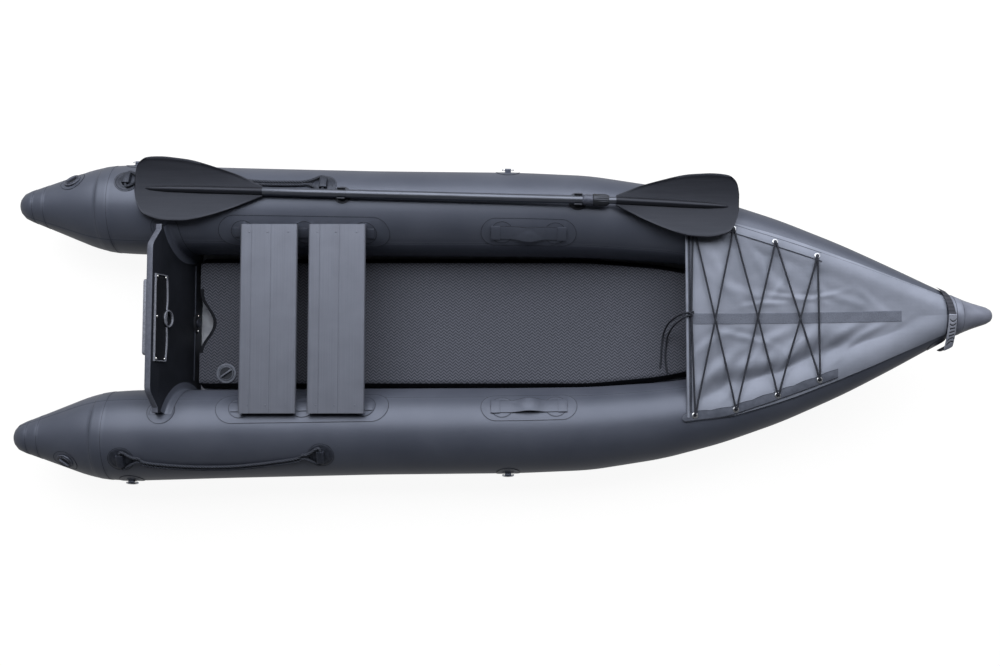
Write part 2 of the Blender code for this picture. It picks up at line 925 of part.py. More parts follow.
# Bench seats
def add_bench(name):
    x = bench_places[name]
    outline = rounded(bench_wide / 2, bench_high / 2, bench_corner, patch_steps)
    profile = prism(outline, -bench_half_long, bench_half_long)
    span = bench_wide - 2 * bench_corner
    pitch = span / bench_chambers
    chambers = []
    for i in range(bench_chambers):
        centre = (pitch * (i + 0.5) - span / 2, 0)
        half = (pitch - bench_wall) / 2
        high = bench_high / 2 - bench_wall
        chambers.append(box(half, high, -2 * bench_half_long, 2 * bench_half_long, centre))
    seat = across_boat(combine(profile, chambers, "DIFFERENCE"))
    spot = (x, 0, bench_under + bench_high / 2)
    add(name, moved_by(seat, Matrix.Translation(spot)), looks["metal"], spot)


def add_hook(name, bench, side):
    """Foot under a bench end whose tongue lies beneath the seat strap."""
    tall = 3 * hook_long
    outline = [
        (hook_inner, hook_tongue),
        (hook_outer + hook_wall, hook_tongue),
        (hook_outer + hook_wall, tall),
        (hook_inner, tall),
        (hook_inner, hook_slot_high),
        (hook_outer, hook_slot_high),
        (hook_outer, hook_slot_low),
        (hook_inner, hook_slot_low),
    ]
    foot = along_boat(prism(outline, -hook_long / 2, hook_long / 2))
    foot = wrap(foot, side, hook_places[bench], seat_strap_angle, ceiling=bench_under - gap)
    spot = (bench_places[bench], 0, bench_under + bench_high / 2)
    add(name, foot, looks["hook"], spot)


def ribbon(route, thick, half):
    """A flat strap from (along, lift) points of its underside."""
    above = [(u, v + thick) for u, v in route[::-1]]
    return across_boat(prism([*route, *above], -half, half))


def patch_base(half_long, half_wide):
    radius = half_wide * patch_corner_share
    outline = rounded(half_long, half_wide, radius, patch_steps)
    return prism(outline, gap, gap + patch_thick)


def disc_on(radius, along, low, high, sides=round_sides):
    return prism(circle(radius, sides, (along, 0)), low, high)


def add_seat_strap(prefix, side):
    top = gap + patch_thick + disc_thick
    sunk = top - disc_thick / 2
    edges = [-strap_end]
    lifts = [sunk]
    for a, b in zip(seat_disc_places, seat_disc_places[1:]):
        start = a + disc_radius
        stop = b - disc_radius
        edges += [start - gap, start + strap_ramp, stop - strap_ramp, stop + gap]
        lifts += [sunk, strap_lift, strap_lift, sunk]
    edges.append(strap_end)
    lifts.append(sunk)
    band = ribbon(list(zip(edges, lifts)), strap_thick, strap_half)
    base = patch_base(seat_patch_half_long, seat_patch_half_wide)
    low = gap + patch_thick / 2
    discs = [disc_on(disc_radius, u, low, top, small_sides) for u in seat_disc_places]
    strap = combine(base, [*discs, band])
    add(prefix + "_seat_strap", wrap(strap, side, seat_strap_x, seat_strap_angle), looks["tape"])


def add_carry_handle(prefix, side):
    top = gap + patch_thick + disc_thick
    sunk = top - disc_thick / 2
    free = carry_disc_places[1] - carry_disc_radius
    route = [(-carry_strap_half_long, sunk)]
    for i in range(-5, 6):
        u = free * i / 5
        rise = carry_rise * math.cos(math.pi / 2 * i / 5) ** 2
        route.append((u, sunk + rise))
    route.append((carry_strap_half_long, sunk))
    band = ribbon(route, strap_thick, carry_strap_half_wide)
    base = patch_base(carry_patch_half_long, carry_patch_half_wide)
    low = gap + patch_thick / 2
    discs = [disc_on(carry_disc_radius, u, low, top, small_sides) for u in carry_disc_places]
    handle = combine(base, [*discs, band])
    add(prefix + "_carry_handle", wrap(handle, side, carry_x, carry_angle), looks["tape"])


# Rope handles
def add_anchor(name, side, x):
    top = gap + patch_thick + disc_thick
    base = prism(circle(anchor_patch_radius), gap, gap + patch_thick)
    disc = prism(circle(anchor_disc_radius), gap + patch_thick / 2, top)
    foot = top - disc_thick / 2
    shoulder = bridge_high * bridge_shoulder_share
    outline = [
        (-bridge_half_long, foot),
        (-tunnel_half, foot),
        (-tunnel_half, tunnel_high * tunnel_shoulder_share),
        (-tunnel_half * tunnel_top_share, tunnel_high),
        (tunnel_half * tunnel_top_share, tunnel_high),
        (tunnel_half, tunnel_high * tunnel_shoulder_share),
        (tunnel_half, foot),
        (bridge_half_long, foot),
        (bridge_half_long, shoulder),
        (bridge_half_long * bridge_top_share, bridge_high),
        (-bridge_half_long * bridge_top_share, bridge_high),
        (-bridge_half_long, shoulder),
    ]
    bridge = across_boat(prism(outline, -bridge_half_wide, bridge_half_wide))
    anchor = combine(base, [disc, bridge])
    add(name, wrap(anchor, side, x, anchor_angle), looks["rubber"])


def add_rope(prefix, side):
    """One endless rope through both anchors, its two runs side by side."""
    def spot(x, angle, shift, lift):
        turn = angle + math.degrees(shift / section(x)[2])
        return skin_point(side, x, turn, lift)

    out = rope_routes[prefix]
    points = []
    for shift, run in ((1, out), (-1, out[::-1])):
        points += [spot(x, angle, shift * strand_half, rope_skin_lift) for x, angle in run]
        end, way = (anchor_places["fore"], -1) if shift > 0 else (anchor_places["aft"], 1)
        for turn in (shift, -shift):
            eye = rope_eye if turn == shift else rope_eye[::-1]
            for out_along, out_around, lift in eye:
                points.append(spot(end + way * out_along, anchor_angle, turn * out_around, lift))
    route = smooth_route(points, rope_radius * rope_step, closed=True)
    add_cord(prefix + "_rope_handle", route, rope_radius, looks["rope"], closed=True)
    print(prefix, "rope", round(route_length([*route, route[0]]), 3), len(route))


# D-rings
def add_ring(prefix, side, place, x):
    top = gap + patch_thick
    base = prism(circle(ring_patch_radius), gap, top)
    block = prism(
        [
            (-ring_block_wide, top - patch_thick / 2),
            (ring_block_wide, top - patch_thick / 2),
            (ring_block_wide, ring_block_high * ring_block_shoulder_share),
            (ring_block_wide * ring_block_top_share, ring_block_high),
            (-ring_block_wide * ring_block_top_share, ring_block_high),
            (-ring_block_wide, ring_block_high * ring_block_shoulder_share),
        ],
        -ring_block_half,
        ring_block_half,
    )
    tunnel = prism(circle(ring_tunnel, 12, (0, ring_lift)), -2 * ring_block_half, 2 * ring_block_half)
    bracket = combine(along_boat(block), [along_boat(tunnel)], "DIFFERENCE")
    patch = combine(base, [bracket])
    name = prefix + "_" + place
    add(name + "_ring_patch", wrap(patch, side, x, ring_angle), looks["rubber"])
    frame = skin_frame(side, x, ring_angle, ring_lift)
    bow = ring_bar_half
    belly = bow * ring_belly_share
    points = [(0, 0), (bow * ring_straight_share, 0), (bow, ring_wire / 3), (belly, ring_wire * 1.6)]
    for i in range(1, 8):
        turn = math.pi * i / 8
        points.append((belly * math.cos(turn), ring_deep - bow + bow * math.sin(turn)))
    points += [(-u, v) for u, v in points[3:0:-1]]
    route = [frame @ Vector((u, v, 0)) for u, v in points]
    spot = frame.to_translation()
    add_cord(name + "_ring", route, ring_wire, looks["steel"], closed=True, origin=spot)


# Paddle
def paddle_matrix():
    aft = Vector((paddle_aft, hull_half_width - paddle_aft_inset, paddle_z))
    fore = Vector((paddle_fore, hull_half_width - paddle_fore_inset, paddle_z))
    along = (fore - aft).normalized()
    up = Vector((0, 0, 1))
    matrix = Matrix((along, up.cross(along), up)).transposed().to_4x4()
    matrix.translation = (aft + fore) / 2
    return matrix, (fore - aft).length / 2


def along_axis(profile, sides=round_sides, closed=False):
    """A solid turned about X from (place, radius) pairs."""
    rings = [
        [Vector((place, u, v)) for u, v in circle(radius, sides)] for place, radius in profile
    ]
    return loft(rings, closed)


def add_blade(name, matrix, start, way):
    upper = [(start + way * blade_long * s, blade_half_wide * u) for s, u, _ in blade_shares]
    lower = [(start + way * blade_long * s, blade_half_wide * v) for s, _, v in blade_shares]
    plate = prism(upper + lower[::-1], -blade_thick / 2, blade_thick / 2)
    spine = [(start + way * blade_long * s, neck_radius * r) for s, r in spine_shares]
    blade = combine(plate, [along_axis(spine, small_sides)])
    add(name, moved_by(blade, matrix), looks["blade"], matrix.to_translation())


def add_paddle():
    matrix, half = paddle_matrix()
    spot = matrix.to_translation()
    middle = spot.x
    nut_from = collar_to - middle + gap
    profile = [
        (-half + gap, shaft_radius),
        (collar_from - middle, shaft_radius),
        (collar_from - middle + gap * 8, collar_radius),
        (collar_to - middle, collar_radius),
        (collar_to - middle, shaft_radius),
        (nut_to - middle - shaft_radius, shaft_radius),
        (nut_to - middle, neck_radius),
        (half - gap, neck_radius),
    ]
    bore = [
        (half - gap, neck_radius - shaft_wall),
        (nut_to - middle - shaft_radius, neck_radius - shaft_wall),
        (nut_to - middle - 2 * shaft_radius, shaft_radius - shaft_wall),
        (-half + gap, shaft_radius - shaft_wall),
    ]
    add("paddle_shaft", moved_by(along_axis(profile + bore, closed=True), matrix), looks["shaft"], spot)
    nut = [
        (nut_from, nut_radius),
        (nut_to - middle - shaft_radius, nut_radius * nut_shoulder_share),
        (nut_to - middle, nut_radius * nut_end_share),
        (nut_to - middle, shaft_radius + gap),
        (nut_from, shaft_radius + gap),
    ]
    add("paddle_lock_nut", moved_by(along_axis(nut, closed=True), matrix), looks["blade"], spot)
    add_blade("paddle_aft_blade", matrix, -half, -1)
    add_blade("paddle_fore_blade", matrix, half, 1)


def add_clip(name, x):
    """Disc, saddle and two arms that hold the shaft."""
    matrix, _ = paddle_matrix()
    along = x - matrix.to_translation().x
    centre = matrix @ Vector((along, 0, 0))
    centre_y, _, radius = section(x)
    angle = math.degrees(math.asin((centre.y - centre_y) / (radius + patch_thick)))
    inner = shaft_radius + clip_clear
    wide = inner + clip_wall
    seat = paddle_z - shaft_radius - clip_clear
    base = prism(circle(clip_disc_radius), gap, gap + patch_thick)
    saddle = box(clip_half_long, wide * clip_saddle_share, gap + patch_thick / 2, 3 * shaft_radius)
    base = wrap(combine(base, [saddle]), 1, x, angle, ceiling=seat)
    top = shaft_radius * clip_rise_share
    foot = -inner - clip_wall / 3
    arms = []
    for side in (1, -1):
        arm = [
            (side * inner, foot),
            (side * wide, foot),
            (side * wide, top - clip_cap * 2),
            (side * (wide + clip_cap), top - clip_cap),
            (side * (wide + clip_cap), top),
            (side * (inner + clip_cap / 2), top),
            (side * inner, top - clip_cap),
        ]
        solid = along_boat(prism(arm, along - clip_half_long, along + clip_half_long))
        arms.append(moved_by(solid, matrix))
    add(name, combine(base, arms), looks["rubber"])


# Spray deck
def deck_angle(x):
    for before, after in zip(deck_edges, deck_edges[1:]):
        if x <= after[0]:
            break
    share = (x - before[0]) / (after[0] - before[0])
    return before[1] + (after[1] - before[1]) * share


def deck_point(side, x, angle, lift):
    """A point over the deck's round underside, just clear of the facets."""
    centre_y, centre_z, radius = section(x)
    reach = radius * facet_reach + deck_lift + lift
    turn = math.radians(angle)
    return Vector((x, side * (centre_y + reach * math.sin(turn)), centre_z + reach * math.cos(turn)))


def deck_height(x):
    return deck_point(1, x, 0, deck_thick).z


def add_deck():
    first = deck_edges[0][0]
    last = deck_edges[-1][0]
    places = {x for x, _ in deck_edges} | {s[0] for s in stations if first < s[0] < last}
    rings = []
    for x in sorted(places):
        shares = [i / deck_arc_steps for i in range(deck_arc_steps + 1)]
        edge = deck_angle(x)
        ring = [deck_point(1, x, edge * s, deck_thick) for s in shares[::-1]]
        ring += [deck_point(-1, x, edge * s, deck_thick) for s in shares]
        ring += [deck_point(-1, x, edge * s, 0) for s in shares[::-1]]
        ring += [deck_point(1, x, edge * s, 0) for s in shares]
        rings.append(ring)
    extras = []
    for side in (1, -1):
        run = []
        for x, angle in strip_run:
            turn = math.degrees(strip_half / section(x)[2])
            run.append(
                [
                    deck_point(side, x, angle + a, lift)
                    for a, lift in (
                        (-turn, deck_thick / 2),
                        (-turn, deck_thick + strip_thick),
                        (0, deck_thick + strip_thick),
                        (turn, deck_thick + strip_thick),
                        (turn, deck_thick / 2),
                        (0, deck_thick / 2),
                    )
                ]
            )
        extras.append(loft(run))
    deck = combine(loft(rings), extras)
    eyelets = []
    bores = []
    for side in (1, -1):
        for x, angle in eyelet_spots:
            frame = eyelet_frame(side, x, angle)
            top = strip_thick + eyelet_high
            eyelets.append(
                moved_by(prism(circle(eyelet_radius, eyelet_sides), -deck_thick / 3, top), frame)
            )
            bore = prism(circle(eyelet_bore, eyelet_sides - 4), -eyelet_radius, eyelet_radius)
            bores.append(moved_by(bore, frame))
    deck = combine(combine(deck, eyelets), bores, "DIFFERENCE")
    add("spray_deck", deck, looks["deck"])


def eyelet_frame(side, x, angle):
    here = deck_point(side, x, angle, deck_thick)
    matrix = Matrix.Rotation(-side * math.radians(angle), 4, "X")
    matrix = matrix @ Matrix.Rotation(math.radians(eyelet_turn), 4, "Z")
    matrix.translation = here
    return matrix


def add_batten():
    x = (batten_aft + batten_fore) / 2
    low = max(skin_point(1, place, 0, gap).z for place in (batten_aft, batten_fore))
    half = (batten_fore - batten_aft) / 2
    profile = rounded(half, batten_thick / 2, batten_thick * batten_corner_share, 3)
    reach = section(x)[0] + batten_reach
    bar = across_boat(prism(profile, -reach, reach))
    add("deck_batten", moved_by(bar, Matrix.Translation((x, 0, low + batten_thick / 2))), looks["hem"])


def add_lacing():
    """One endless cord through all the eyelets and the knot."""
    port = [deck_point(1, x, angle, deck_thick + lace_low) for x, angle in eyelet_spots]
    starboard = [deck_point(-1, x, angle, deck_thick + lace_low) for x, angle in eyelet_spots]
    knot = Vector((*knot_spot, deck_height(knot_spot[0]) + lace_low))
    corners = [port[0], starboard[1], port[2], starboard[3]]
    corners += [port[3], starboard[2], port[1], starboard[0]]
    route = []
    for i, corner in enumerate(corners):
        before = corners[i - 1] if i else knot
        after = corners[i + 1] if i + 1 < len(corners) else knot
        enter = (before - corner).normalized()
        leave = (after - corner).normalized()
        outward = Vector((0, math.copysign(lace_turn / 2, corner.y), 0))
        straight = lace_turn * lace_straight_share
        sideways = (enter - leave) * lace_turn / 4
        route += [corner + enter * straight, corner + outward + sideways]
        route += [corner + outward - sideways, corner + leave * straight]
        if i in (4, 5, 6):
            for share, lift in ((0.4, 0.85), (0.5, 1), (0.6, 0.85)):
                route.append(corner.lerp(after, share) + Vector((0, 0, lace_cross * lift)))
    route.append(knot)
    add_cord("deck_bungee", route, lace_radius, looks["lace"], closed=True)
    for name, points in loose_ends.items():
        smooth = smooth_route(points, cord_step)
        add_cord(name + "_bungee_end", smooth, lace_radius, looks["lace"])
        print(name, "loose end", round(route_length(smooth), 3), len(smooth))


# Carrying strap over the nose
def nose_reach(x):
    centre_y, _, radius = section(x)
    return radius * facet_reach + max(centre_y, 0)


def nose_height(x):
    return section(x)[1]


def across_strap(value, x):
    """A value of the nose, straight across the strap and clear of a bend under it."""
    low = bow_strap_x - grip_half
    high = bow_strap_x + grip_half
    slope = (value(high) - value(low)) / (high - low)
    inside = [s[0] for s in stations if low < s[0] < high]
    bends = [value(place) - value(low) - slope * (place - low) for place in inside]
    return value(low) + slope * (x - low) + max([0, *bends])


def strap_point(x, angle, lift):
    turn = math.radians(angle)
    reach = across_strap(nose_reach, x) + lift
    height = across_strap(nose_height, x)
    return Vector((x, reach * math.sin(turn), height + reach * math.cos(turn)))


def strap_height(angle):
    """The strap lies on the hull and stands off it under the grip."""
    share = min(1, abs(angle - bow_rise_middle) / bow_rise_half)
    return bow_strap_seat + bow_strap_rise * math.cos(math.pi / 2 * share) ** bow_rise_power


def bow_band(start, stop, low, high, half, steps):
    rings = []
    for i in range(steps + 1):
        angle = start + (stop - start) * i / steps
        base = strap_height(angle)
        ring = []
        for way, lift in ((-1, low), (1, low), (1, high), (-1, high)):
            ring.append(strap_point(bow_strap_x + way * half, angle, base + lift))
        rings.append(ring)
    return rings


def add_bow_strap():
    angles = (bow_strap_starboard_angle, bow_strap_port_angle)
    band = bow_band(*angles, 0, bow_strap_thick, bow_strap_half, 2 * strap_steps)
    add("bow_webbing", loft(band), looks["webbing"])
    low = bow_strap_thick + grip_clear
    grip = bow_band(grip_from, grip_to, low, low + grip_thick, grip_half, strap_steps)
    add("bow_grip", loft(grip), looks["grip"])


looks = {
    "tube": make_look("slate_tube", (0.0723, 0.0782, 0.0953), 0.46),
    "bottom": make_look("grey_bottom", (0.1981, 0.2122, 0.2423), 0.5),
    "floor": make_look("charcoal_floor", (0.0423, 0.0452, 0.0561), 0.62),
    "board": make_look("slate_board", (0.0331, 0.0356, 0.0437), 0.42),
    "pad": make_look("black_pad", (0.0086, 0.0091, 0.011), 0.5),
    "tape": make_look("slate_tape", (0.0723, 0.0782, 0.0953), 0.5),
    "rubber": make_look("dark_moulding", (0.0194, 0.0212, 0.0262), 0.4),
    "hook": make_look("black_hook", (0.007, 0.0075, 0.0086), 0.48),
    "metal": make_look("anodised_bench", (0.1356, 0.1441, 0.1746), 0.42, 1.0),
    "steel": make_look("bright_ring", (0.624, 0.6308, 0.6308), 0.22, 1.0),
    "rope": make_look("dark_rope", (0.0176, 0.0194, 0.0252), 0.65),
    "lace": make_look("elastic_cord", (0.0075, 0.008, 0.0103), 0.6),
    "valve": make_look("slate_valve", (0.0423, 0.0452, 0.0545), 0.38),
    "valve_dark": make_look("black_valve", (0.007, 0.0075, 0.0086), 0.4),
    "valve_cap": make_look("valve_cap", (0.0331, 0.0356, 0.0437), 0.38),
    "blade": make_look("black_blade", (0.0123, 0.013, 0.016), 0.36),
    "shaft": make_look("paddle_shaft", (0.159, 0.1651, 0.1878), 0.34, 1.0),
    "deck": make_look("grey_deck", (0.1529, 0.1651, 0.1946), 0.48),
    "hem": make_look("grey_hem", (0.107, 0.117, 0.1413), 0.5),
    "webbing": make_look("dark_webbing", (0.0116, 0.0123, 0.0152), 0.78),
    "grip": make_look("slate_grip", (0.0887, 0.0953, 0.1144), 0.55),
}


def main():
    for thing in list(bpy.data.objects):
        bpy.data.objects.remove(thing)
    for prefix, side in (("port", 1), ("starboard", -1)):
        tube = add(prefix + "_tube", tube_shell(side, stern_seam, bow_tube_start, True), looks["tube"])
        frame = skin_frame(side, valve_x, valve_angle, gap)
        cut(tube, add_valve(prefix, frame, tube_valve_radius))
        bow = tube_shell(side, bow_tube_start, bow_cone_start, False)
        add(prefix + "_bow_tube", bow, looks["tube"])
        add_holder(prefix, side)
        add_seat_strap(prefix, side)
        add_carry_handle(prefix, side)
        add_rope(prefix, side)
        for place, x in anchor_places.items():
            add_anchor(prefix + "_" + place + "_anchor", side, x)
        for place, x in ring_places.items():
            add_ring(prefix, side, place, x)
        for bench in bench_places:
            add_hook(prefix + "_" + bench + "_hook", bench, side)
    add("bow_cone", nose_shell(), looks["tube"])
    add_bottom()
    floor_valve_x = board_top_x + floor_valve_reach
    top = floor_low(floor_valve_x) + floor_thick + gap
    spot = Matrix.Translation((floor_valve_x, floor_valve_y, top))
    add_floor(add_valve("floor", spot, floor_valve_radius))
    add_transom()
    for bench in bench_places:
        add_bench(bench)
    add_paddle()
    for place, x in clip_places.items():
        add_clip("paddle_clip_" + place, x)
    add_deck()
    add_batten()
    add_lacing()
    add_bow_strap()
    print("objects", sum(not thing.hide_render for thing in bpy.data.objects))


main()
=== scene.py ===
import math

import bmesh
import bpy
from mathutils import Matrix, Vector, noise


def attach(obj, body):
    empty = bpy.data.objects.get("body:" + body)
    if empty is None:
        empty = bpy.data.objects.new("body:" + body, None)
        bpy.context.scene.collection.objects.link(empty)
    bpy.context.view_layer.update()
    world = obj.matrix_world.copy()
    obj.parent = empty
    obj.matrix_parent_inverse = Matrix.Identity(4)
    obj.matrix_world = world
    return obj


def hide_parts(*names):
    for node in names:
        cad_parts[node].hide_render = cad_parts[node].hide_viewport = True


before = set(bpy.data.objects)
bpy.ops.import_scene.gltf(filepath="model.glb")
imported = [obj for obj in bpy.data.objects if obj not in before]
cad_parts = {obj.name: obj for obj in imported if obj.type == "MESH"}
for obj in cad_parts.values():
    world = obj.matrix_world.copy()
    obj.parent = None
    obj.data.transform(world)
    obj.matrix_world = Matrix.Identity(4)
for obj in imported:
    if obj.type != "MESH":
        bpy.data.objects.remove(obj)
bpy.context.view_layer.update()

# The photograph was taken from a ladder, a little to starboard, looking down on the boat
camera = {"x": 0.0322, "y": -0.298, "height": 4.0, "tilt": 3.85, "lens": 39.39, "sensor": 36.0}


def addCamera():
    data = bpy.data.cameras.new("ladderCamera")
    data.lens = camera["lens"]
    data.sensor_width = camera["sensor"]
    data.clip_end = 50
    eye = bpy.data.objects.new("ladderCamera", data)
    eye.location = (camera["x"], camera["y"], camera["height"])
    eye.rotation_euler = (math.radians(camera["tilt"]), 0, 0)
    bpy.context.scene.collection.objects.link(eye)
    bpy.context.scene.camera = eye


addCamera()

# Small tools

sides = ((1, "port"), (-1, "starboard"))
# Gap between a piece and the skin it is glued to
skinGap = 0.0003


def fromHex(code):
    rgb = [int(code[i : i + 2], 16) / 255 for i in (1, 3, 5)]
    return (*[v / 12.92 if v <= 0.04045 else ((v + 0.055) / 1.055) ** 2.4 for v in rgb], 1)


def perMetre(millimetres):
    return 1000 / millimetres


def addNode(tree, kind, settings=None, links=None):
    node = tree.nodes.new(kind)
    for key, value in (settings or {}).items():
        if isinstance(key, str) and hasattr(node, key):
            setattr(node, key, value)
        else:
            node.inputs[key].default_value = value
    for key, source in (links or {}).items():
        tree.links.new(source, node.inputs[key])
    return node


def startSurface(name, colour, roughness, metallic=0.0, specular=0.5):
    material = bpy.data.materials.new(name)
    material.use_nodes = True
    tree = material.node_tree
    shader = tree.nodes["Principled BSDF"]
    shader.inputs["Base Color"].default_value = fromHex(colour)
    shader.inputs["Roughness"].default_value = roughness
    shader.inputs["Metallic"].default_value = metallic
    shader.inputs["Specular IOR Level"].default_value = specular
    # The studio light is a little cool, which shows in the sheen
    shader.inputs["Specular Tint"].default_value = fromHex("#dfe8ff")
    place = addNode(tree, "ShaderNodeTexCoord").outputs["Object"]
    return material, tree, shader, place


# Colours run from dark to light as height goes from low to high
def tintBy(tree, shader, height, dark, light, low=0.35, high=0.65):
    ramp = addNode(tree, "ShaderNodeValToRGB", None, {"Fac": height})
    ramp.color_ramp.elements[0].position = low
    ramp.color_ramp.elements[0].color = fromHex(dark)
    ramp.color_ramp.elements[1].position = high
    ramp.color_ramp.elements[1].color = fromHex(light)
    tree.links.new(ramp.outputs["Color"], shader.inputs["Base Color"])
    return ramp


def reliefBy(tree, shader, height, depth, strength=1.0):
    bump = addNode(tree, "ShaderNodeBump", {"Strength": strength, "Distance": depth}, {"Height": height})
    tree.links.new(bump.outputs["Normal"], shader.inputs["Normal"])
    return bump


def claim(piece, slot, body, *replaced):
    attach(piece, body)
    if replaced:
        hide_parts(*replaced)
    return piece


def finishPiece(name, bm, looks, slot, body, *replaced, sharp=35):
    bmesh.ops.recalc_face_normals(bm, faces=bm.faces)
    mesh = bpy.data.meshes.new(name)
    bm.to_mesh(mesh)
    bm.free()
    mesh.shade_smooth()
    mesh.set_sharp_from_angle(angle=math.radians(sharp))
    for look in looks:
        mesh.materials.append(look)
    piece = bpy.data.objects.new(name, mesh)
    bpy.context.scene.collection.objects.link(piece)
    return claim(piece, slot, body, *replaced)


# A piece of coated cloth whose cut edges show the glue
def finishTape(name, bm, *replaced, sharp=25):
    return finishPiece(name, bm, [pvc, glueLineAndShade], "tape", "hull", *replaced, sharp=sharp)


# A grid whose vertex (i, j) goes to place(us[i], vs[j]); paint gives a face's material
def layGrid(bm, us, vs, place, paint=None):
    made = bmesh.ops.create_grid(bm, x_segments=len(us) - 1, y_segments=len(vs) - 1, size=0.5)
    verts = made["verts"]
    uvLayer = bm.loops.layers.uv.verify()
    spots = {}
    for vert in verts:
        i = round((vert.co.x + 0.5) * (len(us) - 1))
        j = round((vert.co.y + 0.5) * (len(vs) - 1))
        spots[vert] = (i, j)
    for face in {face for vert in verts for face in vert.link_faces}:
        if paint:
            corner = min(spots[vert] for vert in face.verts)
            face.material_index = paint(us[corner[0]], vs[corner[1]])
        for loop in face.loops:
            i, j = spots[loop.vert]
            loop[uvLayer].uv = (us[i], vs[j])
    for vert in verts:
        i, j = spots[vert]
        vert.co = place(us[i], vs[j])
    return verts


def numbered(spots):
    return {float(i): spot for i, spot in enumerate(spots)}


def spread(low, high, step):
    count = max(1, math.ceil((high - low) / step))
    return [low + (high - low) * i / count for i in range(count + 1)]


def softBox(bm, halves, centre=(0, 0, 0), bevel=0.001, segments=2):
    made = bmesh.ops.create_cube(bm, size=2)["verts"]
    bmesh.ops.scale(bm, vec=halves, verts=made)
    edges = list({edge for vert in made for edge in vert.link_edges})
    if bevel:
        cut = bmesh.ops.bevel(
            bm, geom=edges, offset=bevel, segments=segments, affect="EDGES", profile=0.5, material=-1
        )
        made = list({vert for vert in [*made, *cut["verts"]] if vert.is_valid})
    bmesh.ops.translate(bm, vec=centre, verts=made)
    return made


# Joins a grid's meeting edges and fills the holes at its ends
def closeUp(bm, near):
    bmesh.ops.remove_doubles(bm, verts=bm.verts, dist=near)
    bmesh.ops.edgeloop_fill(bm, edges=[edge for edge in bm.edges if edge.is_boundary])


# Spins (radius, height) points about Z
def turnProfile(bm, profile, sides, matrix=None, closed=False):
    row = [bm.verts.new((radius, 0, height)) for radius, height in profile]
    edges = [bm.edges.new(pair) for pair in zip(row, row[1:])]
    if closed:
        edges.append(bm.edges.new((row[-1], row[0])))
    bmesh.ops.spin(
        bm, geom=[*row, *edges], cent=(0, 0, 0), axis=(0, 0, 1), angle=2 * math.pi, steps=sides, use_merge=True
    )
    seen = set()
    queue = list(row)
    while queue:
        vert = queue.pop()
        if vert in seen or not vert.is_valid:
            continue
        seen.add(vert)
        queue += [edge.other_vert(vert) for edge in vert.link_edges]
    verts = list(seen)
    bmesh.ops.remove_doubles(bm, verts=verts, dist=0.00001)
    verts = [vert for vert in verts if vert.is_valid]
    if matrix is not None:
        bmesh.ops.transform(bm, matrix=matrix, verts=verts)
    return verts


# Extrudes faces by an offset; gives the moved vertices and faces
def drawUp(bm, faces, offset):
    drawn = bmesh.ops.extrude_face_region(bm, geom=faces)["geom"]
    moved = [item for item in drawn if isinstance(item, bmesh.types.BMVert)]
    bmesh.ops.translate(bm, verts=moved, vec=offset)
    return moved, [item for item in drawn if isinstance(item, bmesh.types.BMFace)]


# A flat outline with rounded corners, drawn up from low to high
def drawOutline(bm, points, low, high, rounding=0.0, bevel=0.0):
    face = bm.faces.new([bm.verts.new((u, v, low)) for u, v in points])
    if rounding:
        corners = list(face.verts)
        bmesh.ops.bevel(
            bm, geom=corners, offset=rounding, segments=4, affect="VERTICES", profile=0.5, material=-1
        )
        face = max(bm.faces, key=lambda f: (f.is_valid, f.calc_center_median().z <= low + 1e-7, f.calc_area()))
    drawUp(bm, [face], (0, 0, high - low))
    if bevel:
        rims = [edge for edge in bm.edges if edge.is_valid and edge.calc_face_angle(0) > math.radians(60)]
        bmesh.ops.bevel(bm, geom=rims, offset=bevel, segments=3, affect="EDGES", profile=0.5, material=-1)


# Points a step apart on a smooth curve through the given ones
def smoothRoute(points, step, closed=False):
    points = [Vector(point) for point in points]
    if closed:
        points = [points[-1], *points, points[0], points[1]]
    else:
        points = [2 * points[0] - points[1], *points, 2 * points[-1] - points[-2]]
    route = []
    for a, b, c, d in zip(points, points[1:], points[2:], points[3:]):
        count = max(1, round((c - b).length / step))
        for i in range(count):
            t = i / count
            rise = (c - a) * t
            bend = (2 * a - 5 * b + 4 * c - d) * t**2
            turn = (3 * b - a - 3 * c + d) * t**3
            route.append(b + (rise + bend + turn) / 2)
    return route if closed else [*route, points[-2]]


def makeCurve(name, points, radius, look, closed=False, resolution=3):
    data = bpy.data.curves.new(name, "CURVE")
    data.dimensions = "3D"
    data.bevel_depth = radius
    data.bevel_resolution = resolution
    data.use_fill_caps = not closed
    spline = data.splines.new("POLY")
    spline.points.add(len(points) - 1)
    for target, point in zip(spline.points, points):
        target.co = (*point, 1)
    spline.use_cyclic_u = closed
    data.materials.append(look)
    piece = bpy.data.objects.new(name, data)
    bpy.context.scene.collection.objects.link(piece)
    return piece


# Finishes


def addNoise(tree, place, size, detail):
    return addNode(tree, "ShaderNodeTexNoise", {"Scale": perMetre(size), "Detail": detail}, {"Vector": place})


# Noise drawn out by a size in millimetres along each axis
def addStreaks(tree, place, sizes, detail):
    scale = tuple(perMetre(size) for size in sizes)
    stretch = addNode(tree, "ShaderNodeMapping", {"Scale": scale}, {"Vector": place})
    return addNode(tree, "ShaderNodeTexNoise", {"Scale": 1.0, "Detail": detail}, {"Vector": stretch.outputs[0]})


def addMath(tree, operation, constants, links):
    return addNode(tree, "ShaderNodeMath", {"operation": operation, **constants}, links).outputs[0]


# One noise tints the surface and, where a relief is given, roughens it too. The surface is roughness,
# metallic, specular; the noise is millimetres, detail; the tints run dark to light
def makeClouded(name, colour, surface, cloud, tints, relief=None):
    material, tree, shader, place = startSurface(name, colour, *surface)
    height = addNoise(tree, place, *cloud).outputs["Fac"]
    tintBy(tree, shader, height, *tints)
    if relief:
        reliefBy(tree, shader, height, *relief)
    return material


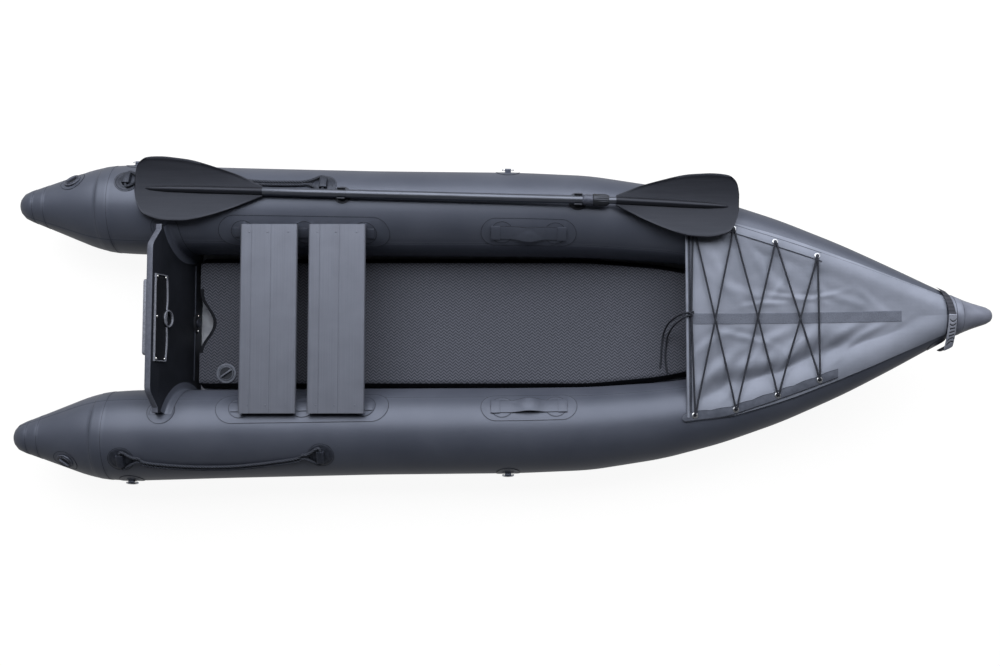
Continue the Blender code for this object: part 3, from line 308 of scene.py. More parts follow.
def makeTubePvc():
    # PVC-coated polyester, calendered: a satin slate skin, faintly clouded, with a leathery print
    material, tree, shader, place = startSurface("calenderedPvcCloth", "#3c404b", 0.42, 0.0, 0.58)
    tintBy(tree, shader, addNoise(tree, place, 160, 5).outputs["Fac"], "#393d48", "#40444f")
    # The real thread print is 1 mm; it is drawn at 2.5 mm so that it shows
    grain = addNode(tree, "ShaderNodeTexVoronoi", {"Scale": perMetre(2.5)}, {"Vector": place})
    reliefBy(tree, shader, grain.outputs["Distance"], 0.0002, 0.35)
    return material


def makeFloorGrip():
    # Embossed anti-slip PVC: zigzag ribs 11 mm apart that turn every 10.5 mm, dull
    material, tree, shader, place = startSurface("zigzagGripPvc", "#4d505c", 0.62, 0.0, 0.3)
    parts = addNode(tree, "ShaderNodeSeparateXYZ", None, {"Vector": place})
    fold = addMath(tree, "PINGPONG", {1: 0.0105}, {0: parts.outputs["X"]})
    shifted = addMath(tree, "ADD", {}, {0: fold, 1: parts.outputs["Y"]})
    phase = addMath(tree, "MULTIPLY", {1: 2 * math.pi * perMetre(11)}, {0: shifted})
    wave = addMath(tree, "SINE", {}, {0: phase})
    height = addMath(tree, "MULTIPLY_ADD", {1: 0.5, 2: 0.2}, {0: wave})
    grain = addNoise(tree, place, 3, 3)
    mixed = addMath(tree, "ADD", {}, {0: height, 1: grain.outputs["Fac"]})
    tintBy(tree, shader, mixed, "#26282e", "#494b54", 0.2, 1.2)
    reliefBy(tree, shader, mixed, 0.0009, 0.7)
    return material


def makeBoardDarkAndShade():
    # Birch plywood under two coats of dark paint, made near-black as painted shade on the faces that turn from the
    # lamp: satin, with the roller's fine orange peel
    material, tree, shader, place = startSurface("plywoodDarkPaintAndShade", "#17191f", 0.5, 0.0, 0.25)
    tintBy(tree, shader, addNoise(tree, place, 80, 4).outputs["Fac"], "#14161b", "#1b1d23")
    reliefBy(tree, shader, addNoise(tree, place, 2.5, 2).outputs["Fac"], 0.0002, 0.4)
    return material


def makeBenchAnodising():
    # Extruded aluminium, anodised slate: the die's fine lines run the length of the plank
    material, tree, shader, place = startSurface("anodisedExtrusion", "#686c78", 0.46, 0.35, 0.4)
    lines = addStreaks(tree, place, (1.5, 400, 1.5), 3).outputs["Fac"]
    cloud = addNoise(tree, place, 70, 5).outputs["Fac"]
    mixed = addMath(tree, "MULTIPLY_ADD", {1: 0.6}, {0: cloud, 2: lines})
    tintBy(tree, shader, mixed, "#545761", "#5e626d", 0.5, 1.1)
    reliefBy(tree, shader, lines, 0.0001, 0.3)
    return material


def makeShaftAnodising():
    # Drawn aluminium tube, anodised dark grey: satin, drawn lines along it
    material, tree, shader, place = startSurface("anodisedShaftTube", "#4d5059", 0.36, 0.7)
    tintBy(tree, shader, addStreaks(tree, place, (250, 1.5, 1.5), 3).outputs["Fac"], "#44474f", "#575b65")
    return material


def makeBladeNylon():
    # Glass-filled nylon blade: black, satin, with faint flow marks from the mould
    material, tree, shader, place = startSurface("bladeNylon", "#111217", 0.4, 0.0, 0.27)
    tintBy(tree, shader, addStreaks(tree, place, (120, 9, 20), 5).outputs["Fac"], "#0f1015", "#15161b")
    return material


def makeBungeeSheath():
    # Elastic cord in a braided nylon sheath: black, fine diamonds
    material, tree, shader, place = startSurface("braidedElasticCord", "#121317", 0.6, 0.0, 0.3)
    braid = addNode(tree, "ShaderNodeTexVoronoi", {"Scale": perMetre(1.8)}, {"Vector": place})
    tintBy(tree, shader, braid.outputs["Distance"], "#0e0f12", "#25272d", 0.1, 0.6)
    reliefBy(tree, shader, braid.outputs["Distance"], 0.0004, 0.8)
    return material


# Threads a given number of millimetres apart along one axis
def addThreads(tree, place, direction, apart):
    settings = {"bands_direction": direction, "Scale": perMetre(apart) / 20}
    return addNode(tree, "ShaderNodeTexWave", settings, {"Vector": place}).outputs["Fac"]


def makeDeckCloth():
    # PVC-coated nylon, sewn and stretched: mid grey, dull sheen, fine plain weave
    material, tree, shader, place = startSurface("coatedDeckCloth", "#7b808d", 0.46)
    tintBy(tree, shader, addNoise(tree, place, 110, 5).outputs["Fac"], "#646975", "#717683")
    # The real thread count is 1 mm; it is drawn at 2 mm so that it shows
    warp = addThreads(tree, place, "X", 2)
    weft = addThreads(tree, place, "Y", 2)
    reliefBy(tree, shader, addMath(tree, "MULTIPLY", {}, {0: warp, 1: weft}), 0.0002, 0.3)
    return material


def makeLoopTape():
    # Hook-and-loop tape: dark, fuzzy, with no shine
    tints = ("#4c505b", "#5d626f")
    material = makeClouded("loopTape", "#686d7a", (0.9, 0.0, 0.2), (2.2, 5), tints, (0.0008, 0.8))
    material.node_tree.nodes["Principled BSDF"].inputs["Sheen Weight"].default_value = 0.35
    return material


def makeWebbing():
    # Woven polyester webbing: black ribs 2 mm apart across the strap
    material, tree, shader, place = startSurface("wovenWebbing", "#1c1d21", 0.78, 0.0, 0.25)
    ribs = addThreads(tree, place, "Y", 2)
    tintBy(tree, shader, ribs, "#303137", "#3b3c43", 0.2, 0.8)
    reliefBy(tree, shader, ribs, 0.0004, 0.6)
    return material


pvc = makeTubePvc()
floorGrip = makeFloorGrip()
boardDarkAndShade = makeBoardDarkAndShade()
anodised = makeBenchAnodising()
shaftMetal = makeShaftAnodising()
bladeNylon = makeBladeNylon()
bungeeLook = makeBungeeSheath()
deckCloth = makeDeckCloth()
loopTape = makeLoopTape()
webbingLook = makeWebbing()
# The nose is capped with a thicker PVC moulding, painted paler than the tubes: a painted highlight on its crown.
# Smooth and half glossy
noseHighlightPvc = makeClouded("noseConeHighlightPvc", "#686c79", (0.36,), (40, 4), ("#636774", "#6d717e"))
# The cut edge of a glued patch: darker, with the adhesive's dull shine; also laid as painted shade in the groove
# aft of the spray deck and under the deck strips' turned-under edges
glueLineAndShade = makeClouded("gluedEdgeAndShade", "#26282f", (0.6, 0.0, 0.3), (4, 3), ("#1f2127", "#31343c"))
# The heavy bottom cloth: paler, dull and a little scuffed
bottomPvc = makeClouded("heavyBottomPvc", "#9498a0", (0.5,), (45, 6), ("#868a93", "#a2a6af"), (0.0006, 0.4))
# Plain PVC round the edge of the floor: smooth and nearly black
floorWall = makeClouded("floorWallPvc", "#0d0e11", (0.6, 0.0, 0.15), (60, 3), ("#0b0c0f", "#121317"))
# The plywood's edges, filled, in a paler slate than the faces: painted light where the lamp catches the top edge;
# satin, with the filler's soft mottle
boardEdgeLit = makeClouded(
    "plywoodEdgeLit", "#4b4e59", (0.45, 0.0, 0.4), (12, 4), ("#464953", "#51545f"), (0.0002, 0.3)
)
# Injection-moulded polypropylene with a sand-blasted face: black and dull
padPlastic = makeClouded(
    "mouldedClampPad", "#101115", (0.55, 0.0, 0.25), (1.6, 2), ("#0d0e11", "#17181c"), (0.0003, 0.5)
)
# Pale grey polypropylene: the outer pad's own colour, and on the inner pad a painted highlight, the lamp's glints
# on its rims and upward side
padGreyAndGlint = makeClouded("padGreyAndGlintPlastic", "#6a6d77", (0.35,), (5, 3), ("#60636c", "#777a85"))
# Soft PVC pressed in a polished mould: near-black, with a dull sheen on its rounded edges
rubber = makeClouded("pressedSoftPvc", "#23262e", (0.4, 0.0, 0.35), (14, 4), ("#1e2128", "#292c35"))
# Glass-filled nylon, moulded: black, with a fine dull grain
nylon = makeClouded("mouldedNylon", "#141517", (0.48,), (1.2, 3), ("#111214", "#1d1e21"), (0.0002, 0.4))
# The plank's sawn end: bare, bright, with the saw's scratches
sawn = makeClouded("sawnAluminium", "#c9ccd2", (0.34, 1.0), (1.0, 4), ("#9a9da3", "#e4e6ea"), (0.0003, 0.5))
# Cold-drawn stainless wire, polished: bright, with soft broad reflections
stainless = makeClouded("polishedStainless", "#cfd0d0", (0.22, 1.0), (6, 3), ("#bfc0c1", "#dcdddd"))
# Twisted polyester: black strands, a soft sheen along the yarns
ropeLook = makeClouded(
    "twistedPolyester", "#24262c", (0.62, 0.0, 0.3), (1.4, 4), ("#1b1d22", "#363942"), (0.0005, 0.7)
)
# Moulded ABS valve: slate, satin
valvePlastic = makeClouded("mouldedValveAbs", "#3b3e48", (0.38, 0.0, 0.4), (8, 3), ("#353842", "#444752"))
# The floor's valve is moulded in a paler slate ABS: satin, lightly scuffed
floorValveLook = makeClouded("scuffedValveAbs", "#5b5f6a", (0.4, 0.0, 0.4), (6, 4), ("#545862", "#646873"))
# Pressed eyelets, nickel-plated and gone dull: grey, with soft reflections
eyeletSteel = makeClouded("dulledNickelEyelet", "#aaadb3", (0.36, 1.0), (3, 3), ("#989ba1", "#bcbfc4"))
# The starboard doubled strip: darker coated nylon, dull
deckStrip = makeClouded("coatedStripCloth", "#454954", (0.55, 0.0, 0.3), (30, 4), ("#3d414b", "#4c505b"))
# Moulded thermoplastic rubber: slate grey, dull
gripRubber = makeClouded("mouldedGripRubber", "#7b7f8b", (0.5, 0.0, 0.4), (5, 4), ("#747884", "#848895"))
print("finishes ready")

# Loose ends of the lacing: over the deck's edge, down inside the bow and along the floor
looseEnds = {
    "radius": 0.003,
    "length": 0.332,
    "step": 0.006,
    "routes": {
        "port": [
            (0.6793, 0.0205, 0.2984),
            (0.6665, 0.0205, 0.299),
            (0.652, 0.0165, 0.2935),
            (0.636, 0.0075, 0.258),
            (0.6215, -0.0075, 0.19),
            (0.613, -0.035, 0.1345),
            (0.6085, -0.063, 0.1212),
            (0.605, -0.098, 0.1198),
            (0.6035, -0.128, 0.1194),
            (0.5998, -0.1597, 0.1189),
        ],
        "starboard": [
            (0.6793, 0.0122, 0.2984),
            (0.6665, 0.0085, 0.299),
            (0.654, 0.0015, 0.2945),
            (0.6435, -0.0075, 0.265),
            (0.633, -0.0225, 0.2),
            (0.6265, -0.046, 0.14),
            (0.6222, -0.072, 0.1236),
            (0.6185, -0.106, 0.1218),
            (0.6195, -0.143, 0.1216),
            (0.6248, -0.178, 0.1224),
        ],
    },
}


def addLooseEnds():
    for side, points in looseEnds["routes"].items():
        route = smoothRoute(points, looseEnds["step"])
        piece = makeCurve(side + "LooseEnd", route, looseEnds["radius"], bungeeLook)
        claim(piece, "lace", "hull", side + "_bungee_end")
        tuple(points[0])
    print("loose ends hung")


addLooseEnds()

# Hull tubes
hull = {
    # Along the boat, outer half width, tube radius, keel height
    "stations": [
        (-1.6157, 0.4547, 0.0507, 0.1373),
        (-1.3649, 0.5485, 0.1495, 0.0085),
        (-1.25, 0.556, 0.158, 0.0),
        (-0.9, 0.546, 0.1535, 0.0),
        (-0.4, 0.535, 0.15, 0.0),
        (0.1, 0.53, 0.1485, 0.0),
        (0.35, 0.5195, 0.145, 0.0),
        (0.6, 0.4795, 0.133, 0.02),
        (0.8, 0.426, 0.12, 0.05),
        (1.0, 0.353, 0.112, 0.09),
        (1.2, 0.2593, 0.104, 0.146),
        (1.35, 0.1755, 0.098, 0.202),
        (1.5, 0.083, 0.083, 0.287),
        (1.562, 0.0505, 0.0505, 0.343),
        (1.6309, 0.0265, 0.0265, 0.3838),
    ],
    "joint": 0.35,
    "noseFrom": 1.5,
    "sternTip": -1.65,
    "bowTip": 1.65,
    "easing": 0.05,
    "ringStep": 0.022,
    # Rings crowd towards the tips
    "tipSteps": [0.0000001, 0.0003, 0.0015, 0.004, 0.008],
    "sides": 96,
    "seamAngle": -52.0,
    "seamWide": 0.0016,
    # Doubled cloth at the ends: from, to, how much it stands proud
    "bands": [(-1.7, -1.592, 0.0012), (-1.592, -1.55, 0.0006), (-1.352, -1.312, 0.0008)],
    "noseBands": [(1.523, 1.547, 0.0011), (1.547, 1.7, 0.0006)],
    "edge": 0.0007,
}


def chordSection(x):
    rows = hull["stations"]
    for before, after in zip(rows, rows[1:]):
        if x <= after[0]:
            break
    share = (x - before[0]) / (after[0] - before[0])
    width, radius, keel = [a + (b - a) * share for a, b in zip(before[1:], after[1:])]
    return Vector((width - radius, keel + radius, radius))


# Centre's distance from the middle, its height and the tube's radius, eased at the stations
def section(x):
    first = hull["stations"][0]
    last = hull["stations"][-1]
    for end, other, way in ((first, hull["stations"][1], -1), (last, hull["stations"][-2], 1)):
        if way * (x - end[0]) > 0:
            slope = math.atan2(other[2] - end[2], abs(other[0] - end[0]))
            ball = end[2] / math.cos(slope)
            middle = end[0] - way * ball * math.sin(slope)
            centre = chordSection(end[0])
            return centre.x, centre.y, math.sqrt(max(0, ball**2 - (x - middle) ** 2))
    reach = min(hull["easing"], 0.5 * (x - first[0]), 0.5 * (last[0] - x))
    total = Vector((0, 0, 0))
    for i in range(-3, 4):
        total += chordSection(x + reach * i / 3)
    return tuple(total / 7)


# A point over the tube; the angle is from the top, positive outboard
def skinPoint(side, x, angle, lift):
    centreY, centreZ, radius = section(x)
    turn = math.radians(angle)
    reach = radius + lift
    return Vector((x, side * (centreY + reach * math.sin(turn)), centreZ + reach * math.cos(turn)))


# Placement whose X runs along the tube and Z stands off its skin
def skinFrame(side, x, angle, lift):
    here = skinPoint(side, x, angle, lift)
    along = (skinPoint(side, x + 0.001, angle, lift) - skinPoint(side, x - 0.001, angle, lift)).normalized()
    around = (skinPoint(side, x, angle + 1, lift) - here).normalized()
    out = along.cross(around).normalized() * side
    matrix = Matrix((along, out.cross(along) * side, out)).transposed().to_4x4()
    matrix.translation = here
    return matrix


def tubeRows(low, high, bands):
    edge = hull["edge"]
    rows = set(spread(low, high, hull["ringStep"]))
    for start, stop, _ in bands:
        for place in (start, stop):
            if low < place < high:
                rows = {x for x in rows if abs(x - place) > 3 * edge}
                rows |= {place - edge, place + edge}
    return sorted(rows)


def bandLift(x, bands):
    return max([0, *[lift for start, stop, lift in bands if start < x < stop]])


# A tube with stepped bands of doubled cloth and one long glued seam
def addTube(name, side, low, high, bands, body, *replaced, look=pvc):
    rows = tubeRows(low, high, bands)
    if low <= hull["sternTip"]:
        rows = [x for x in rows if x > low + 0.001]
        rows = [*[low + step for step in hull["tipSteps"]], *[x for x in rows if x > low + 0.012]]
    if high >= hull["bowTip"]:
        rows = [x for x in rows if x < high - 0.012]
        rows += [high - step for step in hull["tipSteps"][::-1]]
    seam = hull["seamAngle"]
    half = math.degrees(hull["seamWide"] / 0.15) / 2
    turns = [t for t in spread(-180, 180, 360 / hull["sides"]) if abs(t - seam) > 1.5]
    turns = sorted([*turns, seam - half, seam + half])

    def place(x, angle):
        onSeam = 0.0005 if seam - 12 < angle < seam and low < hull["noseFrom"] else 0
        point = skinPoint(side, x, angle, bandLift(x, bands) + onSeam)
        if side * point.y < 0.0002 and low < hull["noseFrom"]:
            point.y = side * 0.0002
        return point

    def paint(x, angle):
        nearEdge = any(abs(x - (step - hull["edge"])) < 0.0001 for band in bands for step in band[:2])
        onSeam = abs(angle - (seam - half)) < 0.01 and low < hull["noseFrom"]
        return 1 if nearEdge or onSeam else 0

    bm = bmesh.new()
    layGrid(bm, rows, turns, place, paint)
    bmesh.ops.remove_doubles(bm, verts=bm.verts, dist=0.00002)
    return finishPiece(name, bm, [look, glueLineAndShade], "tube", body, *replaced, sharp=60)


def addHull():
    stern, joint, nose, bow = (hull[key] for key in ("sternTip", "joint", "noseFrom", "bowTip"))
    for side, prefix in sides:
        addTube(prefix + "SideTube", side, stern, joint, hull["bands"], "hull", prefix + "_tube")
        addTube(prefix + "BowTube", side, joint, nose, [], "hull", prefix + "_bow_tube")
    addTube("noseCone", 1, nose, bow, hull["noseBands"], "hull", "bow_cone", look=noseHighlightPvc)
    print("hull blown up")


addHull()

# Bottom cloth, laid from tube to tube
bottom = {"aft": -1.12, "fore": 1.34, "lap": -157.5, "inner": -142.5, "thick": 0.0012}


def bottomPoint(x, across):
    # across runs from -1 to 1 between the inner edges; past them the cloth follows the tube
    side = 1 if across >= 0 else -1
    lift = 0.0009
    if abs(across) <= 1:
        edge = skinPoint(side, x, bottom["inner"], lift)
        sag = 0.002 * math.cos(across * math.pi / 2) * (1 + 0.4 * math.sin(9 * x))
        return Vector((x, edge.y * abs(across), edge.z + sag))
    angle = bottom["inner"] + (bottom["lap"] - bottom["inner"]) * (abs(across) - 1)
    return skinPoint(side, x, angle, lift)


def addBottom():
    bm = bmesh.new()
    layGrid(bm, spread(bottom["aft"], bottom["fore"], 0.03), spread(-2, 2, 0.1), bottomPoint)
    bmesh.ops.solidify(bm, geom=bm.faces[:], thickness=bottom["thick"] * 0.7)
    finishPiece("bottomCloth", bm, [bottomPvc], "bottom", "hull", "hull_bottom")


addBottom()

# Leaning board at the stern
board = {
    "thick": 0.022,
    "top": 0.385,
    "topX": -1.1335,
    "rake": 12.0,
    "topHalf": 0.245,
    "shoulderHalf": 0.302,
    "shoulderHigh": 0.333,
    "shoulderEnd": 0.3195,
    "endAngle": -29.2,
    "footAngle": -138.0,
    "clear": 0.004,
    "edge": 0.0032,
    "cornerRound": 0.016,
}


def boardX(z):
    return board["topX"] + (board["top"] - z) * math.tan(math.radians(board["rake"]))


def upBoard(z):
    return (z - board["top"]) / math.cos(math.radians(board["rake"]))


# Placement on the board: X across, Y up it, Z inboard
def boardMatrix():
    rake = math.radians(board["rake"])
    up, out = (-math.sin(rake), 0, math.cos(rake)), (math.cos(rake), 0, math.sin(rake))
    matrix = Matrix(((0, 1, 0), up, out)).transposed().to_4x4()
    matrix.translation = (board["topX"], 0, board["top"])
    return matrix


def leaningPoint(side, angle, lift, along):
    x = board["topX"]
    for _ in (1, 2, 3):
        point = skinPoint(side, x + along, angle, lift)
        x = boardX(point.z)
    return point


# Three points that round the corner between two others
def easeCorner(before, corner, after, reach):
    before, corner, after = Vector(before), Vector(corner), Vector(after)
    start = corner + (before - corner).normalized() * reach
    stop = corner + (after - corner).normalized() * reach
    arc = []
    for t in (0, 0.25, 0.5, 0.75, 1):
        arc.append(tuple(start * (1 - t) ** 2 + corner * 2 * t * (1 - t) + stop * t**2))
    return arc


def addBoard():
    shoulder = upBoard(board["shoulderHigh"])
    top = (board["topHalf"], 0)
    bend = (board["shoulderHalf"], shoulder)
    follow = []
    for angle in spread(-board["footAngle"], -board["endAngle"], 4)[::-1]:
        point = leaningPoint(1, -angle, board["clear"], 0)
        follow.append((point.y, upBoard(point.z)))
    follow[0] = (board["shoulderEnd"], follow[0][1])
    half = easeCorner((0, 0), top, bend, board["cornerRound"])
    half += [bend, *easeCorner(bend, (board["shoulderEnd"], shoulder), follow[0], 0.005)]
    half += follow[1:]
    outline = half + [(-u, v) for u, v in half[::-1]]
    bm = bmesh.new()
    drawOutline(bm, outline, -board["thick"] / 2, board["thick"] / 2, bevel=board["edge"])
    bm.normal_update()
    for face in bm.faces:
        # The sawn edges are painted paler than the faces: painted light on the lit top edge, against the faces'
        # painted shade
        face.material_index = 0 if abs(face.normal.z) > 0.9 else 1
    bmesh.ops.transform(bm, matrix=boardMatrix(), verts=bm.verts)
    finishPiece("sternBoard", bm, [boardDarkAndShade, boardEdgeLit], "board", "hull", "transom_board")


addBoard()

# Clamp pads on the board, with their screws
pads = {
    "outerHalf": 0.127,
    "outerHigh": 0.09,
    "outerThick": 0.013,
    "innerHalf": 0.1465,
    "innerTop": -0.015,
    "innerLow": -0.098,
    "innerThick": 0.007,
    "lobe": 0.008,
    "rim": 0.0035,
    "recess": 0.0045,
    "eye": (0, -0.098),
    "eyeRadius": 0.03,
    "eyeBore": 0.018,
    "eyeHigh": 0.0112,
    "screws": [(0.1375, -0.024), (0.1375, -0.078), (0.003, -0.024), (-0.1375, -0.024), (-0.1375, -0.078)],
    "screwHead": [(0, 0.0034), (0.45, 0.0032), (0.8, 0.0022), (1, 0.0004), (1, -0.001)],
    "screwRadius": 0.0044,
}


def addScrews(name, spots, matrix, radius, height, body="hull"):
    bm = bmesh.new()
    profile = [(radius * share, high) for share, high in pads["screwHead"]]
    for u, v in spots:
        turnProfile(bm, profile, 20, matrix @ Matrix.Translation((u, v, height)))
    finishPiece(name, bm, [stainless], "ring", body)


def addPads():
    face = board["thick"] / 2 + skinGap
    matrix = boardMatrix()
    bm = bmesh.new()
    half = pads["outerHalf"]
    low = -pads["outerHigh"] - 0.004
    outline = [(-half, low), (half, low), (half, -0.004), (-half, -0.004)]
    drawOutline(bm, outline, -face - pads["outerThick"], -face, rounding=0.01, bevel=0.003)
    bmesh.ops.transform(bm, matrix=matrix, verts=bm.verts)
    finishPiece("outerClampPad", bm, [padGreyAndGlint], "pad", "hull", "transom_outer_pad")

    bm = bmesh.new()
    half = pads["innerHalf"]
    lobes = []
    for s in spread(0, 1, 1 / 32):
        drop = pads["lobe"] * (1 - abs(math.sin(2 * math.pi * s)))
        lobes.append((half * (1 - 2 * s), pads["innerLow"] + drop))
    outline = [(-half, pads["innerTop"]), (half, pads["innerTop"]), *lobes]
    bm.faces.new([bm.verts.new((u, v, face)) for u, v in outline])
    drawUp(bm, bm.faces[:], (0, 0, pads["innerThick"]))
    bmesh.ops.recalc_face_normals(bm, faces=bm.faces)
    # The inner pad's upward side, its rim, its recess walls and the top of its eye are painted pale grey: painted
    # highlight
    for side in bm.faces:
        if side.normal.y > 0.9:
            side.material_index = 1
    top = [f for f in bm.faces if abs(f.calc_center_median().z - face - pads["innerThick"]) < 0.0001]
    for side in bmesh.ops.inset_region(bm, faces=top, thickness=pads["rim"], depth=0)["faces"]:
        side.material_index = 1
    top = [f for f in bm.faces if len(f.verts) > 8 and f.calc_center_median().z > face + pads["innerThick"] / 2]
    for side in bmesh.ops.inset_region(bm, faces=top, thickness=0.0012, depth=-pads["recess"])["faces"]:
        side.material_index = 1
    matrixEye = Matrix.Translation((*pads["eye"], face))
    bore, rim, high = pads["eyeBore"], pads["eyeRadius"], pads["eyeHigh"]
    ring = [(bore, 0), (bore, high * 0.55), (rim - 0.0056, high * 0.55), (rim - 0.0046, high)]
    ring += [(rim - 0.0015, high), (rim, high * 0.75), (rim, 0)]
    turned = turnProfile(bm, ring, 48, matrixEye, closed=True)
    for side in {side for vert in turned for side in vert.link_faces}:
        if side.calc_center_median().z - face > high * 0.7:
            side.material_index = 1
    bmesh.ops.transform(bm, matrix=matrix, verts=bm.verts)
    finishPiece("innerClampPad", bm, [padPlastic, padGreyAndGlint], "pad", "hull", "transom_inner_pad", sharp=40)
    addScrews("padScrews", pads["screws"], matrix, pads["screwRadius"], face + pads["innerThick"])


addPads()

# Drain through the foot of the board
drain = {"height": 0.078, "half": (0.037, 0.024), "thick": 0.006, "bore": 0.0104, "head": 0.0165}


def addDrain():
    face = board["thick"] / 2 + skinGap
    centre = boardMatrix() @ Matrix.Translation((0, upBoard(drain["height"]), 0))
    bm = bmesh.new()
    bmesh.ops.create_circle(bm, cap_ends=True, radius=1, segments=64)
    bmesh.ops.scale(bm, vec=(*drain["half"], 1), verts=bm.verts)
    bmesh.ops.translate(bm, vec=(0, 0, face), verts=bm.verts)
    drawUp(bm, bm.faces[:], (0, 0, drain["thick"] * 0.6))
    top = [f for f in bm.faces if f.calc_center_median().z > face + drain["thick"] * 0.5]
    bmesh.ops.inset_region(bm, faces=top, thickness=0.003, depth=drain["thick"] * 0.4)
    bmesh.ops.transform(bm, matrix=centre, verts=bm.verts)
    finishPiece("drainFlange", bm, [nylon], "valve", "hull", "drain_flange", sharp=50)
    spots = [(drain["half"][0] * 0.74, 0), (-drain["half"][0] * 0.74, 0)]
    addScrews("drainScrews", spots, centre, 0.003, face + drain["thick"])
    bm = bmesh.new()
    top = face + drain["thick"] + 0.0003
    head, stem = drain["head"], drain["bore"] * 0.93
    profile = [(0, -0.02), (stem, -0.02), (stem, 0), (head - 0.002, 0), (head, 0.0015), (head, 0.005)]
    profile += [(head - 0.002, 0.007), (head * 0.6, 0.007), (head * 0.5, 0.005), (0, 0.005)]
    turnProfile(bm, [(radius, top + high) for radius, high in profile], 40)
    softBox(bm, (head * 0.72, 0.0018, 0.0018), (0, 0, top + 0.0062), 0.0008)
    bmesh.ops.transform(bm, matrix=centre, verts=bm.verts)
    finishPiece("drainPlug", bm, [rubber], "valve_cap", "plug", "drain_plug")


addDrain()


# Narrow tape along the board's foot, where the bottom cloth is glued to it
def addFootTape():
    bm = bmesh.new()
    softBox(bm, (0.205, 0.0034, 0.0006), (0, upBoard(0.09), board["thick"] / 2 + 0.0009), 0.0004)
    bmesh.ops.transform(bm, matrix=boardMatrix(), verts=bm.verts)
    finishPiece("boardFootTape", bm, [pvc], "tape", "hull")


addFootTape()

# Glued patches: cut flat, rounded at the rim, then laid over the tube
patchCut = {"step": 0.006, "alongStep": 0.04, "thick": 0.0013, "line": 0.0019}


def cutAcross(bm, spot, normal):
    geometry = bm.verts[:] + bm.edges[:] + bm.faces[:]
    bmesh.ops.bisect_plane(bm, geom=geometry, dist=0.00001, plane_co=spot, plane_no=normal)


# Bends a solid modelled as (along, around, lift) over one tube
def layOn(bm, side, x, angle):
    verts = bm.verts[:]
    radius = section(x)[2]
    low = [min(vert.co[i] for vert in verts) for i in (0, 1)]
    high = [max(vert.co[i] for vert in verts) for i in (0, 1)]
    for axis, step in ((1, patchCut["step"]), (0, patchCut["alongStep"])):
        for place in spread(low[axis], high[axis], step)[1:-1]:
            normal = Vector((0, 1, 0) if axis else (1, 0, 0))
            cutAcross(bm, normal * place, normal)
    for vert in bm.verts:
        along, around, lift = vert.co
        vert.co = skinPoint(side, x + along, angle + math.degrees(around / radius), lift)


# A flat disc, or a long one with round ends, whose rim shows the glued edge
def cutPatch(bm, radius, stretch=0.0, low=skinGap, centre=(0, 0)):
    thick = patchCut["thick"]
    verts = bmesh.ops.create_circle(bm, cap_ends=True, radius=radius, segments=72)["verts"]
    for vert in verts:
        way = (vert.co.x > 0.0001) - (vert.co.x < -0.0001)
        vert.co.x += way * stretch
        vert.co += Vector((*centre, low))
    face = list({face for vert in verts for face in vert.link_faces})
    lifted, top = drawUp(bm, face, (0, 0, thick))
    for wall in {f for vert in lifted for f in vert.link_faces} - set(top):
        wall.material_index = 1
    for rim in bmesh.ops.inset_region(bm, faces=top, thickness=patchCut["line"], depth=0)["faces"]:
        rim.material_index = 1
    bmesh.ops.translate(bm, verts=lifted, vec=(0, 0, -thick * 0.45))


# A glued patch, round or long, with any discs that lie on it
def gluePatch(name, side, x, angle, radius, *replaced, stretch=0.0, discs=(), disc=0.0):
    bm = bmesh.new()
    cutPatch(bm, radius, stretch)
    for along in discs:
        cutPatch(bm, disc, 0, skinGap + patchCut["thick"] - 0.0002, (along, 0))
    layOn(bm, side, x, angle)
    finishTape(name, bm, *replaced)


def glueLongPatch(name, side, table, node):
    long, wide = table["patch"]
    discs, disc = table["discs"], table["disc"]
    gluePatch(name, side, table["x"], table["angle"], wide, node, stretch=long - wide, discs=discs, disc=disc)


# Places across a strap, close together at its edges
def strapColumns(half, inset, step):
    return [-half, -half + 0.0016, *spread(-half + inset, half - inset, step), half - 0.0016, half]


# Straps that hold the seats
seatStrap = {
    "x": -0.64,
    "angle": -36.6,
    "patch": (0.294, 0.06),
    "discs": [-0.208, 0.003, 0.207],
    "disc": 0.042,
    "bandHalf": 0.02,
    "bandEnd": 0.24,
    "bandThick": 0.002,
    # Lift of the band over its discs and between them
    "seat": 0.0028,
    "lift": 0.0055,
    "ramp": 0.014,
}


def addSeatStraps():
    for side, prefix in sides:
        glueLongPatch(prefix + "SeatPatch", side, seatStrap, prefix + "_seat_strap")

        def bandSpot(u, v):
            lift = low = seatStrap["seat"]
            for a, b in zip(seatStrap["discs"], seatStrap["discs"][1:]):
                start = a + seatStrap["disc"] - 0.004
                stop = b - seatStrap["disc"] + 0.004
                if start < u < stop:
                    share = min(1, (u - start) / seatStrap["ramp"], (stop - u) / seatStrap["ramp"])
                    lift = low + (seatStrap["lift"] - low) * (3 - 2 * share) * share**2
            return Vector((u, v, lift + (thick if abs(v) < half - 0.0005 else thick * 0.5)))

        bm = bmesh.new()
        end, half, thick = seatStrap["bandEnd"], seatStrap["bandHalf"], seatStrap["bandThick"]
        columns = strapColumns(half, 0.006, 0.007)
        layGrid(
            bm, spread(-end, end, 0.006), columns, bandSpot,
            lambda u, v: 1 if v < -half + 0.0001 or v > half - 0.002 else 0,
        )
        bmesh.ops.solidify(bm, geom=bm.faces[:], thickness=thick * 0.5)
        layOn(bm, side, seatStrap["x"], seatStrap["angle"])
        finishTape(prefix + "SeatBand", bm, sharp=40)
    print("seat straps glued")


addSeatStraps()

# Carry handles: a wide strap that buckles between two discs
carry = {
    "x": 0.1308,
    "angle": -34.0,
    "patch": (0.1645, 0.052),
    "discs": [-0.0918, 0.0918],
    "disc": 0.04,
    "half": 0.024,
    "end": 0.1305,
    "seat": 0.0034,
    "rise": 0.02,
    "crease": 0.0009,
    "thick": 0.002,
}


